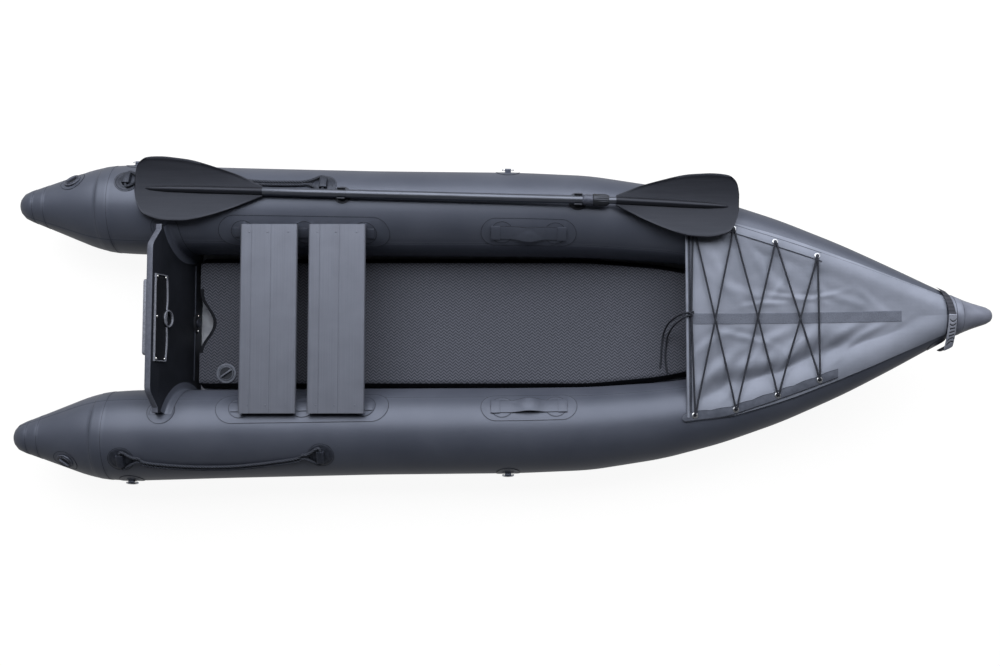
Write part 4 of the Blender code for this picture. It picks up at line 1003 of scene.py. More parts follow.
def addCarryHandles():
    for side, prefix in sides:
        glueLongPatch(prefix + "CarryPatch", side, carry, prefix + "_carry_handle")
        half, thick = carry["half"], carry["thick"]
        free = carry["discs"][1] - carry["disc"] + 0.012

        def strapSpotAt(u, v):
            if abs(u) >= free:
                return Vector((u, v, carry["seat"] + thick / 2))
            across = v / half
            share = u / free
            swell = math.cos(share * math.pi / 2) ** 2
            # The strap's outer edge hangs lower, and a crease runs between them like a bow
            crease = 0.45 - 1.1 * (1 - swell) + 0.15 * swell
            dent = math.exp(-(((across - crease) / 0.3) ** 2)) * carry["crease"] * math.sqrt(swell)
            lift = carry["seat"] + carry["rise"] * swell * (0.72 - 0.05 * across) - dent
            return Vector((u, v, lift + thick / 2))

        bm = bmesh.new()
        layGrid(
            bm, spread(-carry["end"], carry["end"], 0.005), strapColumns(half, 0.004, 0.003), strapSpotAt,
            lambda u, v: 1 if v < -half + 0.0001 or v > half - 0.002 else 0,
        )
        bmesh.ops.solidify(bm, geom=bm.faces[:], thickness=thick)
        layOn(bm, side, carry["x"], carry["angle"])
        finishTape(prefix + "CarryStrap", bm, sharp=40)
        bm = bmesh.new()
        # Welded pads over the strap's ends
        for way in (-1, 1):
            u = way * (carry["end"] - 0.0165)
            softBox(bm, (0.0155, half + 0.0012, 0.001), (u, 0, 0.0058), 0.0007)
        layOn(bm, side, carry["x"], carry["angle"])
        finishPiece(prefix + "CarryEnds", bm, [pvc], "tape", "hull", sharp=40)
    print("carry handles glued")


addCarryHandles()

# Strips that hold the board to the tubes, and the round patches under its ends
holder = {"reach": 0.034, "top": -27.0, "low": -122.0, "patchAngle": -32.0, "patch": 0.047}


def addHolders():
    face = board["thick"] / 2 / math.cos(math.radians(board["rake"])) + 0.0004
    reach = holder["reach"]
    for side, prefix in sides:
        for way, name in ((1, "Inboard"), (-1, "Outboard")):
            if way < 0:
                reach = holder["reach"] * 0.8
            fold = [(reach, 0.0012), (reach - 0.0016, 0.0014), (reach * 0.5, 0.0016), (0.007, 0.002)]
            fold += [(0.0035, 0.0032), (0.0018, 0.0065)]
            fold += [(0.0008, reach * 0.5), (0.0008, reach - 0.0016), (0.0006, reach)]
            folds = numbered(fold)

            def place(angle, k):
                along, lift = folds[k]
                return leaningPoint(side, angle, lift + 0.0004, way * (face + along))

            def paint(angle, k):
                return 1 if k in (0.0, 7.0) else 0

            bm = bmesh.new()
            low = holder["low"] if way > 0 else -100
            layGrid(bm, spread(low, holder["top"], 2.5), sorted(folds), place, paint)
            bmesh.ops.solidify(bm, geom=bm.faces[:], thickness=0.0009)
            replaced = [prefix + "_transom_holder"] if way > 0 else []
            finishTape(prefix + name + "Holder", bm, *replaced, sharp=50)
        gluePatch(prefix + "BoardPatch", side, boardX(0.3), holder["patchAngle"], holder["patch"])
    print("board glued in")


addHolders()

# Air floor: a flat drop-stitch mat with a notch at the drain
airFloor = {
    "thick": 0.069,
    "aft": -1.0395,
    "fore": 1.0,
    "notchHalf": 0.108,
    "notchDeep": 0.0475,
    "bulge": 0.02,
    "endBulge": 0.005,
    "halves": [(-1.045, 0.2155), (0.35, 0.2155), (0.6, 0.192), (0.8, 0.152), (1.0, 0.1)],
    "tops": [
        (-1.045, 0.1001), (-0.4, 0.099), (0.1, 0.0987), (0.35, 0.098), (0.45, 0.1051), (0.6, 0.1156),
        (0.8, 0.1431), (1.0, 0.1815),
    ],
}


def alongTable(table, x, reach=0.04):
    total = 0
    for i in (-2, -1, 0, 1, 2):
        here = min(max(x + reach * i / 2, table[0][0]), table[-1][0])
        for before, after in zip(table, table[1:]):
            if here <= after[0]:
                break
        total += before[1] + (after[1] - before[1]) * (here - before[0]) / (after[0] - before[0])
    return total / 5


# s runs along, v across, t from the top down
def floorPoint(s, v, t):
    aftY = v * airFloor["halves"][0][1]
    dent = airFloor["notchDeep"] * (1 + math.cos(math.pi * min(1, abs(aftY) / airFloor["notchHalf"]))) / 2
    aft = airFloor["aft"] + dent + t * airFloor["thick"] * math.tan(math.radians(board["rake"]))
    x = aft + (airFloor["fore"] - aft) * s
    corner = 0.012
    pinch = 1 - corner * (max(0, 1 - (x - aft) / 0.03) ** 2 + max(0, 1 - (airFloor["fore"] - x) / 0.03) ** 2)
    y = v * alongTable(airFloor["halves"], x) * pinch
    crown = 0.0012 * math.sin(7 * x + 1) * math.cos(v * math.pi / 2)
    return Vector((x, y, alongTable(airFloor["tops"], x) - airFloor["thick"] * t + crown * (1 - 2 * t)))


def addAirFloor():
    columns = sorted({*spread(-1, -0.5, 0.08), *spread(-0.5, 0.5, 0.04), *spread(0.5, 1, 0.08)})
    rows = sorted({0.0, 0.003, 1.0, *spread(0.006, 0.994, 0.014)})
    bm = bmesh.new()
    layGrid(
        bm, rows, columns, lambda s, v: floorPoint(s, v, 0),
        lambda s, v: 1 if s < 0.005 and abs(v) * airFloor["halves"][0][1] < airFloor["notchHalf"] else 0,
    )
    layGrid(bm, rows, columns, lambda s, v: floorPoint(s, v, 1), lambda s, v: 1)
    rim = [(s, 1.0) for s in rows] + [(1.0, v) for v in columns[::-1][1:]]
    rim += [(s, -1.0) for s in rows[::-1][1:]] + [(0.0, v) for v in columns[1:]]
    tops = numbered(rim)

    def wall(k, t):
        s, v = tops[k]
        here = floorPoint(s, v, t)
        before = floorPoint(*tops[(k - 1) % (len(rim) - 1)], t)
        after = floorPoint(*tops[(k + 1) % (len(rim) - 1)], t)
        way = (after - before).normalized()
        out = Vector((-way.y, way.x, 0))
        swell = airFloor["bulge"] if abs(v) == 1 and 0 < s < 1 else airFloor["endBulge"]
        return here + out * swell * math.sin(math.pi * t)

    layGrid(bm, sorted(tops), [0, 0.04, 0.12, 0.25, 0.4, 0.6, 0.75, 0.88, 0.96, 1], wall, lambda k, t: 1)
    bmesh.ops.remove_doubles(bm, verts=bm.verts, dist=0.00002)
    finishPiece("airFloorMat", bm, [floorGrip, floorWall], "floor", "hull", "air_floor", sharp=50)
    print("air floor laid")


addAirFloor()

# Screw-in air valves
valve = {
    "floorSpot": (-0.9423, -0.18, 0.1006),
    "floorRadius": 0.0356,
    "tubeSpot": (-1.45, 45.0),
    "tubeRadius": 0.03,
    "stem": 0.0046,
    "flange": 0.0035,
    # The rim's outline, in shares of its radius and height
    "rim": [(1, 0.35), (0.985, 0.72), (0.95, 0.95), (0.92, 1), (0.86, 1), (0.845, 0.8), (0.8, 0.8), (0.785, 1)],
    "deep": 0.024,
    "cap": 0.0045,
    "bar": 0.0065,
    "turn": 35.0,
    "plungers": ["port_valve_plunger", "starboard_valve_plunger", "floor_valve_plunger"],
}


def addValve(prefix, matrix, radius, look):
    barrel = radius * 0.86
    bore = radius * 0.724
    lip = valve["flange"]
    bm = bmesh.new()
    stem, deep = valve["stem"], valve["deep"]
    profile = [(stem, -deep), (barrel - 0.001, -deep), (barrel, -deep + 0.001), (barrel, 0), (radius, 0)]
    profile += [(radius * share, lip * high) for share, high in valve["rim"]]
    profile += [(bore + 0.0008, lip), (bore, lip - 0.0008), (bore, 0.003 - deep), (stem, 0.003 - deep)]
    turnProfile(bm, profile, 72, matrix, closed=True)
    ring = radius * 0.74
    for face in bm.faces:
        middle = matrix.inverted() @ face.calc_center_median()
        if middle.xy.length < ring and middle.z > 0:
            face.material_index = 1
    finishPiece(prefix + "ValveBody", bm, [look, nylon], "valve", "hull", prefix + "_valve_body", sharp=30)
    top = lip + valve["cap"] / 3
    cap = radius * 0.71
    bm = bmesh.new()
    profile = [(0, top - valve["cap"]), (cap, top - valve["cap"]), (cap, top - 0.0012)]
    profile += [(cap - 0.0004, top - 0.0004), (cap - 0.0014, top), (cap * 0.9, top), (cap * 0.87, top - 0.0009)]
    profile.append((0, top - 0.0011))
    turnProfile(bm, profile, 64)
    for face in bm.faces:
        face.material_index = 1 if face.calc_center_median().xy.length < cap * 0.8 else 0
    high = valve["bar"] / 2
    bar = softBox(bm, (cap * 0.86, 0.0035, high + 0.0006), (0, 0, top + high - 0.0006), 0.0016, 3)
    for vert in bar:
        taper = 1 - 0.28 * max(0, (vert.co.z - top) / valve["bar"])
        vert.co.y *= taper * (0.8 + 0.5 * (abs(vert.co.x) / cap) ** 2)
    turned = matrix @ Matrix.Rotation(math.radians(valve["turn"]), 4, "Z")
    bmesh.ops.transform(bm, matrix=turned, verts=bm.verts)
    finishPiece(
        prefix + "ValveCap", bm, [look, nylon], "valve_cap", prefix + "_cap", prefix + "_valve_cap", sharp=40
    )


def addValves():
    for side, prefix in sides:
        matrix = skinFrame(side, *valve["tubeSpot"], 0.0009)
        addValve(prefix, matrix, valve["tubeRadius"], valvePlastic)
        gluePatch(prefix + "ValvePatch", side, *valve["tubeSpot"], valve["tubeRadius"] + 0.012)
    addValve("floor", Matrix.Translation(valve["floorSpot"]), valve["floorRadius"], floorValveLook)
    for name in valve["plungers"]:
        for item in bpy.data.objects[name].material_slots:
            item.material = nylon
    print("valves screwed in")


addValves()

# Bench planks: hollow extrusions, sawn to length
bench = {
    "half": 0.3207,
    "wide": 0.194,
    "high": 0.021,
    "under": 0.297,
    "corner": 0.0075,
    "wall": 0.002,
    "chambers": 5,
    "grooves": [-0.058, 0.008],
    "grooveHalf": 0.0011,
    "grooveDeep": 0.0007,
    "places": {"bench_aft": (-0.7525, "aft_seat"), "bench_fore": (-0.5212, "fore_seat")},
    "rivets": [-0.066, -0.004, 0.066],
    "rivetIn": 0.027,
    "rivet": 0.0032,
}


def benchOutline():
    half = bench["wide"] / 2
    high = bench["high"] / 2
    corner = bench["corner"]
    points = []
    for cornerX, cornerZ, start in ((half, high, 0), (-half, high, 90), (-half, -high, 180), (half, -high, 270)):
        middleX = cornerX - math.copysign(corner, cornerX)
        middleZ = cornerZ - math.copysign(corner, cornerZ)
        for i in range(7):
            turn = math.radians(start + 15 * i)
            points.append((middleX + corner * math.cos(turn), middleZ + corner * math.sin(turn)))
        if start == 0:
            for groove in bench["grooves"][::-1]:
                for along, deep in ((1, 0), (0.5, 1), (-0.5, 1), (-1, 0)):
                    points.append((groove + along * bench["grooveHalf"], high - deep * bench["grooveDeep"]))
    return points


def addBenches():
    for name, (x, body) in bench["places"].items():
        z = bench["under"] + bench["high"] / 2
        span = bench["wide"] - 2 * bench["corner"]
        pitch = span / bench["chambers"]
        loops = [benchOutline()]
        for i in range(bench["chambers"]):
            middle = pitch * (i + 0.5) - span / 2
            u = (pitch - bench["wall"]) / 2
            w = bench["high"] / 2 - bench["wall"]
            loops.append([(middle - u, -w), (middle + u, -w), (middle + u, w), (middle - u, w)])
        bm = bmesh.new()
        edges = []
        for loop in loops:
            row = [bm.verts.new((x + u, -bench["half"], z + w)) for u, w in loop]
            edges += [bm.edges.new(pair) for pair in zip(row, row[1:] + row[:1])]
        bmesh.ops.triangle_fill(bm, edges=edges, use_beauty=True)
        drawUp(bm, bm.faces[:], (0, 2 * bench["half"], 0))
        bmesh.ops.recalc_face_normals(bm, faces=bm.faces)
        for face in bm.faces:
            if abs(face.normal.y) > 0.9:
                face.material_index = 1
        finishPiece(name.replace("bench_", "") + "Bench", bm, [anodised, sawn], "bench", body, name, sharp=25)
        bm = bmesh.new()
        rivet = bench["rivet"]
        profile = [(0, 0.0011), (rivet * 0.6, 0.0009), (rivet * 0.9, 0.0005), (rivet, 0), (rivet, -0.001)]
        out = bench["half"] - bench["rivetIn"]
        for y in (-out, out):
            for u in bench["rivets"]:
                turnProfile(bm, profile, 16, Matrix.Translation((x + u, y, z + bench["high"] / 2)))
        finishPiece(name.replace("bench_", "") + "BenchRivets", bm, [anodised], "bench", body, sharp=40)
        for prefix in ("port", "starboard"):
            for item in bpy.data.objects[f"{prefix}_{name}_hook"].material_slots:
                item.material = nylon
    print("benches slid in")


addBenches()

# Rope handles on moulded anchors
anchor = {
    "places": {"aft": -1.2456, "fore": -0.574},
    "angle": 30.0,
    "patch": 0.045,
    "disc": 0.0415,
    "inner": 0.03,
    "halfLong": 0.0135,
    "halfWide": 0.02,
    "high": 0.019,
    "tunnel": 0.0068,
    "tunnelHigh": 0.0155,
}


def addAnchors():
    for side, prefix in sides:
        for end, x in anchor["places"].items():
            name = prefix + end.capitalize() + "Anchor"
            gluePatch(name + "Patch", side, x, anchor["angle"], anchor["patch"])
            bm = bmesh.new()
            top = skinGap + patchCut["thick"]
            inner, disc = anchor["inner"], anchor["disc"]
            profile = [(0, 0.001), (inner - 0.001, 0.001), (inner, 0.0004), (inner + 0.0012, 0.0004)]
            profile += [(inner + 0.0022, 0.0012), (disc - 0.002, 0.0009)]
            profile += [(disc, 0), (disc, -skinGap), (0, -skinGap)]
            turnProfile(bm, [(radius, top + high) for radius, high in profile], 64)
            mark = set(bm.verts)
            long, tunnel = anchor["halfLong"], anchor["tunnel"]
            high, under = anchor["high"], anchor["tunnelHigh"]
            arch = [(-long, top), (-tunnel, top), (-tunnel, under * 0.7), (-tunnel * 0.7, under * 0.92)]
            arch += [(0, under), (tunnel * 0.7, under * 0.92), (tunnel, under * 0.7), (tunnel, top), (long, top)]
            arch += [(long, high * 0.6), (long * 0.85, high * 0.88), (long * 0.45, high)]
            arch += [(-long * 0.45, high), (-long * 0.85, high * 0.88), (-long, high * 0.6)]
            drawOutline(bm, arch, -anchor["halfWide"], anchor["halfWide"])
            fresh = [vert for vert in bm.verts if vert not in mark]
            # The arch is drawn as (along, lift); its depth runs around the tube
            bmesh.ops.transform(bm, matrix=Matrix.Rotation(math.radians(90), 4, "X"), verts=fresh)
            rims = [e for v in fresh for e in v.link_edges if e.calc_face_angle(0) > math.radians(70)]
            rims = [e for e in rims if abs(e.verts[0].co.y - e.verts[1].co.y) < 0.0001]
            rims = list(set(rims))
            bmesh.ops.bevel(bm, geom=rims, offset=0.0016, segments=2, affect="EDGES", profile=0.5, material=-1)
            layOn(bm, side, x, anchor["angle"])
            finishPiece(name, bm, [rubber], "moulding", "hull", f"{prefix}_{end}_anchor", sharp=40)
    print("anchors glued")


addAnchors()

rope = {
    "radius": 0.0055,
    "skinLift": 0.0064,
    "strandHalf": 0.0061,
    "lay": 0.03,
    "strand": 0.0029,
    "step": 0.0025,
    # One side of the eye: from the anchor's middle, around the tube, lift
    "eye": [
        (0.062, 0.0063, 0.0072), (0.046, 0.0092, 0.0086), (0.030, 0.0175, 0.0088), (0.016, 0.0268, 0.0088),
        (0.0048, 0.0302, 0.0088), (0.0002, 0.0220, 0.0088), (0.0, 0.0080, 0.0088),
    ],
    # Along the boat, angle on the tube
    "routes": {
        "port": [(-1.16, 31.5), (-1.04, 33.0), (-0.9, 32.0), (-0.78, 28.5), (-0.66, 29.0)],
        "starboard": [(-1.16, 36.0), (-1.04, 42.5), (-0.9, 45.0), (-0.78, 41.5), (-0.66, 35.0)],
    },
}


def addRopes():
    for side, prefix in sides:
        out = rope["routes"][prefix]
        points = []
        arm = rope["radius"] - rope["strand"]

        def spot(x, angle, shift, lift):
            return skinPoint(side, x, angle + math.degrees(shift / section(x)[2]), lift + 0.0006)

        for shift, run in ((1, out), (-1, out[::-1])):
            points += [spot(x, angle, shift * rope["strandHalf"], rope["skinLift"]) for x, angle in run]
            end, way = (anchor["places"]["fore"], -1) if shift > 0 else (anchor["places"]["aft"], 1)
            for turn in (shift, -shift):
                for along, around, lift in rope["eye"] if turn == shift else rope["eye"][::-1]:
                    points.append(spot(end + way * along, anchor["angle"], turn * around, lift))
        route = smoothRoute(points, rope["step"], closed=True)
        steps = [(b - a).length for a, b in zip(route, route[1:] + route[:1])]
        turns = round(sum(steps) / rope["lay"])
        strands = [[], [], []]
        done = 0.0
        for i, here in enumerate(route):
            way = (route[(i + 1) % len(route)] - route[i - 1]).normalized()
            centreY, centreZ, _ = section(here.x)
            out = (here - Vector((here.x, side * centreY, centreZ))).normalized()
            sideways = way.cross(out).normalized()
            out = sideways.cross(way)
            for k in range(3):
                turn = 2 * math.pi * (turns * done / sum(steps) + k / 3)
                strands[k].append(here + (out * math.cos(turn) + sideways * math.sin(turn)) * arm)
            done += steps[i]
        for k, strand in enumerate(strands):
            name = f"{prefix}RopeStrand{k + 1}"
            piece = makeCurve(name, strand, rope["strand"], ropeLook, closed=True, resolution=1)
            claim(piece, "rope", "hull", *([] if k else [prefix + "_rope_handle"]))
    print("ropes laid up")


addRopes()

# D-rings on their patches, low on the outer sides
dRing = {
    "places": {"aft": -1.2377, "fore": 0.0603},
    "angle": 75.0,
    "patch": 0.042,
    "bar": 0.017,
    "deep": 0.026,
    "wire": 0.0025,
    "loop": 0.0056,
    # The loop's glued feet: across, lift
    "feet": [(0.02, 0.0022), (0.009, 0.0026), (0.0045, 0.0045)],
    "hinges": {
        "aft": ((-1.2377, 0.55848, 0.20089), (0.99948, -0.02801, -0.01619)),
        "fore": ((0.0603, 0.53352, 0.18929), (0.99994, -0.00993, -0.00377)),
    },
    "lift": 0.0085,
    "strapHalf": 0.0105,
}


def addRings():
    for side, prefix in sides:
        for end, x in dRing["places"].items():
            name, node = f"{prefix}{end.capitalize()}Ring", f"{prefix}_{end}_ring"
            gluePatch(name + "Patch", side, x, dRing["angle"], dRing["patch"], node + "_patch")
            # A loop of folded strap that the ring's bar turns in
            lift = dRing["lift"]
            fold = [(-u, v) for u, v in dRing["feet"]]
            for i in range(13):
                turn = math.radians(180 - 15 * i)
                fold.append((math.cos(turn) * dRing["loop"], lift + math.sin(turn) * dRing["loop"]))
            fold += dRing["feet"][::-1]
            folds = numbered(fold)
            across = spread(-dRing["strapHalf"], dRing["strapHalf"], 0.003)
            bm = bmesh.new()
            layGrid(bm, sorted(folds), across, lambda k, v: Vector((v, *folds[k])))
            bmesh.ops.solidify(bm, geom=bm.faces[:], thickness=0.0012)
            layOn(bm, side, x, dRing["angle"])
            finishPiece(name + "Strap", bm, [pvc], "tape", "hull", sharp=50)
            frameHere = skinFrame(side, x, dRing["angle"], lift)
            # The bar lies on its hinge's own axis
            spot, axis = ((a, side * b, c) for a, b, c in dRing["hinges"][end])
            lean = frameHere.to_3x3().col[0].rotation_difference(Vector(axis))
            frameHere = Matrix.Translation(spot) @ (lean.to_matrix() @ frameHere.to_3x3()).to_4x4()
            bow = dRing["bar"]
            belly = bow * 1.08
            points = [(0, 0), (bow * 0.7, 0), (bow * 0.96, 0.0009), (belly, 0.0045)]
            for i in range(1, 12):
                turn = math.pi * i / 12
                points.append((belly * math.cos(turn), dRing["deep"] - bow + bow * math.sin(turn)))
            points += [(-u, v) for u, v in points[3:0:-1]]
            route = smoothRoute([frameHere @ Vector((u, v, 0)) for u, v in points], 0.0015, closed=True)
            piece = makeCurve(name, route, dRing["wire"], stainless, closed=True, resolution=4)
            claim(piece, "ring", f"{prefix}_{end}_d_ring", node)
    print("rings hung")


addRings()

# Two-bladed paddle, level along the port tube
paddle = {
    "aft": (-0.77, 0.432),
    "fore": (0.4266, 0.401),
    "z": 0.3205,
    "shaft": 0.0142,
    "wall": 0.0015,
    # A raised band on the shaft, then the collar: from, to, radius
    "band": -0.306,
    "collar": (0.3154, 0.3475, 0.0185),
    "nutTo": 0.402,
    "nut": 0.0212,
    "neck": 0.0122,
    "ribs": 20,
    # The aft blade sits a little further out on the shaft
    "bladeLong": {"aft": 0.436, "fore": 0.418},
    "aftShift": 0.005,
    "bladeHalf": 0.11,
    "bladeThick": 0.005,
    "spoon": 0.010,
    "bend": -0.03,
    # Along the blade, upper edge, lower edge
    "edge": [
        (0.0, 0.165, -0.17),
        (0.1, 0.34, -0.35),
        (0.19, 0.49, -0.50),
        (0.37, 0.715, -0.78),
        (0.545, 0.90, -0.975),
        (0.69, 0.973, -1.01),
        (0.79, 1.0, -0.985),
        (0.8975, 0.976, -0.865),
        (0.947, 0.89, -0.70),
        (0.982, 0.72, -0.40),
        (1.0, 0.40, -0.06),
    ],
    "spine": [(0.0, 1.12), (0.12, 1.12), (0.5, 1.1), (0.75, 0.93), (0.88, 0.55), (0.935, 0.03)],
}


def paddleMatrix():
    aft = Vector((*paddle["aft"], paddle["z"]))
    fore = Vector((*paddle["fore"], paddle["z"]))
    along = (fore - aft).normalized()
    up = Vector((0, 0, 1))
    matrix = Matrix((along, up.cross(along), up)).transposed().to_4x4()
    matrix.translation = (aft + fore) / 2
    return matrix, (fore - aft).length / 2


# Spins (place, radius) points about the paddle's axis
def turnAlong(bm, profile, sides, matrix, closed=False):
    upright = Matrix.Rotation(math.radians(90), 4, "Y")
    turned = [(radius, place) for place, radius in profile]
    return turnProfile(bm, turned, sides, matrix @ upright, closed)


def addShaft():
    matrix, half = paddleMatrix()
    middle = matrix.translation.x
    low, high, collar = paddle["collar"]
    low, high = low - middle, high - middle
    nutTo = paddle["nutTo"] - middle
    shaft, neck, wall = paddle["shaft"], paddle["neck"], paddle["wall"]
    aft = -half - paddle["aftShift"]
    profile = [(aft, shaft - wall), (aft, shaft - 0.0004), (aft + 0.0006, shaft)]
    band = paddle["band"] - middle
    raised = shaft + 0.0005
    profile += [(band, shaft), (band + 0.0006, raised), (band + 0.004, raised), (band + 0.0046, shaft)]
    profile += [(low - 0.004, shaft), (low, collar - 0.0018), (low + 0.0014, collar), (high - 0.001, collar)]
    profile += [(high, collar - 0.0008), (high, shaft), (nutTo - shaft, shaft), (nutTo, neck), (half, neck)]
    profile += [(half, neck - wall), (nutTo - 0.5 * shaft, neck - wall), (nutTo - 2 * shaft, shaft - wall)]
    bm = bmesh.new()
    turnAlong(bm, profile, 48, Matrix.Identity(4), closed=True)
    for face in bm.faces:
        middle = face.calc_center_median()
        if low - 0.004 < middle.x < high and middle.yz.length > shaft + 0.0005:
            face.material_index = 1
    bmesh.ops.transform(bm, matrix=matrix, verts=bm.verts)
    finishPiece("paddleShaft", bm, [shaftMetal, valvePlastic], "shaft", "paddle", "paddle_shaft", sharp=35)

    start = high + 0.0004
    nut = paddle["nut"]
    profile = [(start, shaft + 0.0004), (start, nut - 0.002), (start + 0.0016, nut - 0.0006), (start + 0.004, nut)]
    profile += [(start + 0.011, nut - 0.0012), (start + 0.02, nut - 0.0008), (start + 0.036, nut - 0.0006)]
    profile += [(start + 0.043, nut * 0.95), (nutTo - 0.003, nut * 0.83)]
    profile += [(nutTo, nut * 0.76), (nutTo, shaft + 0.0004)]
    bm = bmesh.new()
    turnAlong(bm, profile, paddle["ribs"] * 6, Matrix.Identity(4), closed=True)
    for vert in bm.verts:
        radius = math.hypot(vert.co.y, vert.co.z)
        if start + 0.012 < vert.co.x < nutTo - 0.002 and radius > nut * 0.7:
            turn = math.atan2(vert.co.z, vert.co.y)
            dip = 1 - 0.055 * max(0, math.cos(paddle["ribs"] * turn)) ** 0.5
            vert.co.y *= dip
            vert.co.z *= dip
    bmesh.ops.transform(bm, matrix=matrix, verts=bm.verts)
    finishPiece("paddleLockNut", bm, [nylon], "blade", "lock_nut", "paddle_lock_nut", sharp=45)


# Each blade is a shallow spoon with a rolled rim and a spine that dies away; the fore one is bent a little
def addBlades():
    matrix, half = paddleMatrix()
    wide, thick = paddle["bladeHalf"], paddle["bladeThick"]

    def edgeAt(route, along):
        for a, b in zip(route, route[1:]):
            if a.x <= along <= b.x:
                return a.y + (b.y - a.y) * (along - a.x) / max(0.0000001, b.x - a.x)
        return route[-1].y

    rows = sorted({*spread(0, 0.9, 0.025), *spread(0.9, 0.985, 0.0085), 0.992, 0.997, 1.0})
    across = [-1, -0.985, -0.96, *spread(-0.9, 0.9, 0.06), 0.96, 0.985, 1]
    for start, way, prefix in ((-half - paddle["aftShift"], -1, "aft"), (half, 1, "fore")):
        long = paddle["bladeLong"][prefix]
        upper = smoothRoute([(s * long, u * wide, 0) for s, u, _ in paddle["edge"]], 0.006)
        lower = smoothRoute([(s * long, v * wide, 0) for s, _, v in paddle["edge"]], 0.006)
        bm = bmesh.new()
        for face in (1, -1):

            def place(s, v):
                high, low = edgeAt(upper, s * long), edgeAt(lower, s * long)
                y = (high + low) / 2 + v * (high - low) / 2
                rim = min(1, (1 - abs(v)) * (high - low) / 2 / 0.0035, (1.0001 - s) * long / 0.0035)
                body = thick / 2 * math.sqrt(max(0, 1 - (1 - rim) ** 2))
                # A raised bead runs along the rim and dies away at the neck
                inside = min((1 - abs(v)) * (high - low) / 2, (1 - s) * long)
                bead = 0.0012 * math.exp(-(((inside - 0.0035) / 0.002) ** 2)) * min(1, inside / 0.002)
                bead = bead if s > 0.1 else 0
                dish = paddle["spoon"] * (y / wide) ** 2 * min(1, s / 0.3)
                bent = paddle["bend"] * s * long if way > 0 else 0
                height = dish + body + bead if face > 0 else dish - body
                return Vector((start + way * s * long, y + bent, height))

            layGrid(bm, rows, across, place)
        closeUp(bm, 0.00003)
        # The spine is turned about the shaft's axis and runs out near the tip
        profile = [(start, 0)]
        for s in spread(0, paddle["spine"][-1][0], 0.02):
            for before, after in zip(paddle["spine"], paddle["spine"][1:]):
                if s <= after[0] + 1e-6:
                    break
            reach = before[1] + (after[1] - before[1]) * (s - before[0]) / (after[0] - before[0])
            profile.append((start + way * s * long, paddle["neck"] * reach))
        profile.append((profile[-1][0] + way * 0.0005, 0))
        for vert in turnAlong(bm, profile, 28, Matrix.Identity(4)):
            if way > 0:
                vert.co.y += paddle["bend"] * max(0, vert.co.x - start)
        bmesh.ops.transform(bm, matrix=matrix, verts=bm.verts)
        finishPiece(prefix + "Blade", bm, [bladeNylon], "blade", "paddle", f"paddle_{prefix}_blade", sharp=40)
    print("paddle made")


addShaft()
addBlades()

# Clips that grip the shaft
clip = {
    "places": {"aft": -0.508, "fore": 0.298},
    "halfLong": 0.0135,
    "disc": 0.032,
    "wall": 0.0036,
    "clear": 0.0005,
    "cap": 0.0022,
    "rise": 0.8,
}


def addClips():
    matrix, _ = paddleMatrix()
    for end, x in clip["places"].items():
        along = x - matrix.translation.x
        centre = matrix @ Vector((along, 0, 0))
        centreY, _, radius = section(x)
        angle = math.degrees(math.asin((centre.y - centreY) / radius))
        bm = bmesh.new()
        top = skinGap + patchCut["thick"]
        disc = clip["disc"]
        profile = [(0, top + 0.0016), (disc * 0.55, top + 0.0014), (disc * 0.6, top + 0.0006)]
        profile += [(disc * 0.92, top + 0.0004), (disc, top - 0.0004), (disc, 0.0005), (0, 0.0005)]
        turnProfile(bm, profile, 56)
        layOn(bm, 1, x, angle)
        inner = paddle["shaft"] + clip["clear"]
        wide = inner + clip["wall"]
        top = paddle["shaft"] * clip["rise"]
        cap = clip["cap"]
        cradle = [(-wide, -0.006), (-wide, top - 0.004), (-wide - cap, top - 0.0022), (-wide - cap * 0.7, top)]
        cradle += [(-inner - 0.0012, top), (-inner, top - 0.003), (-inner, 0)]
        for i in range(1, 9):
            turn = math.radians(180 + 20 * i)
            cradle.append((inner * math.cos(turn), inner * math.sin(turn)))
        cradle += [(inner, 0), (inner, top - 0.003), (inner + 0.0012, top), (wide + cap * 0.7, top)]
        cradle += [(wide + cap, top - 0.0022), (wide, top - 0.004), (wide, -0.006)]
        cradle += [(wide * 0.62, -0.0205), (-wide * 0.62, -0.0205)]
        arms = bmesh.new()
        drawOutline(arms, cradle, -clip["halfLong"], clip["halfLong"], bevel=0.0007)
        # The outline is drawn across and up; the depth runs along the shaft
        swap = Matrix(((0, 0, 1, along), (1, 0, 0, 0), (0, 1, 0, 0), (0, 0, 0, 1)))
        bmesh.ops.transform(arms, matrix=matrix @ swap, verts=arms.verts)
        data = bpy.data.meshes.new("clipArms")
        arms.to_mesh(data)
        arms.free()
        bm.from_mesh(data)
        bpy.data.meshes.remove(data)
        name = "paddleClip" + end.capitalize()
        finishPiece(name, bm, [nylon], "moulding", "hull", "paddle_clip_" + end, sharp=40)
    print("clips glued")


addClips()

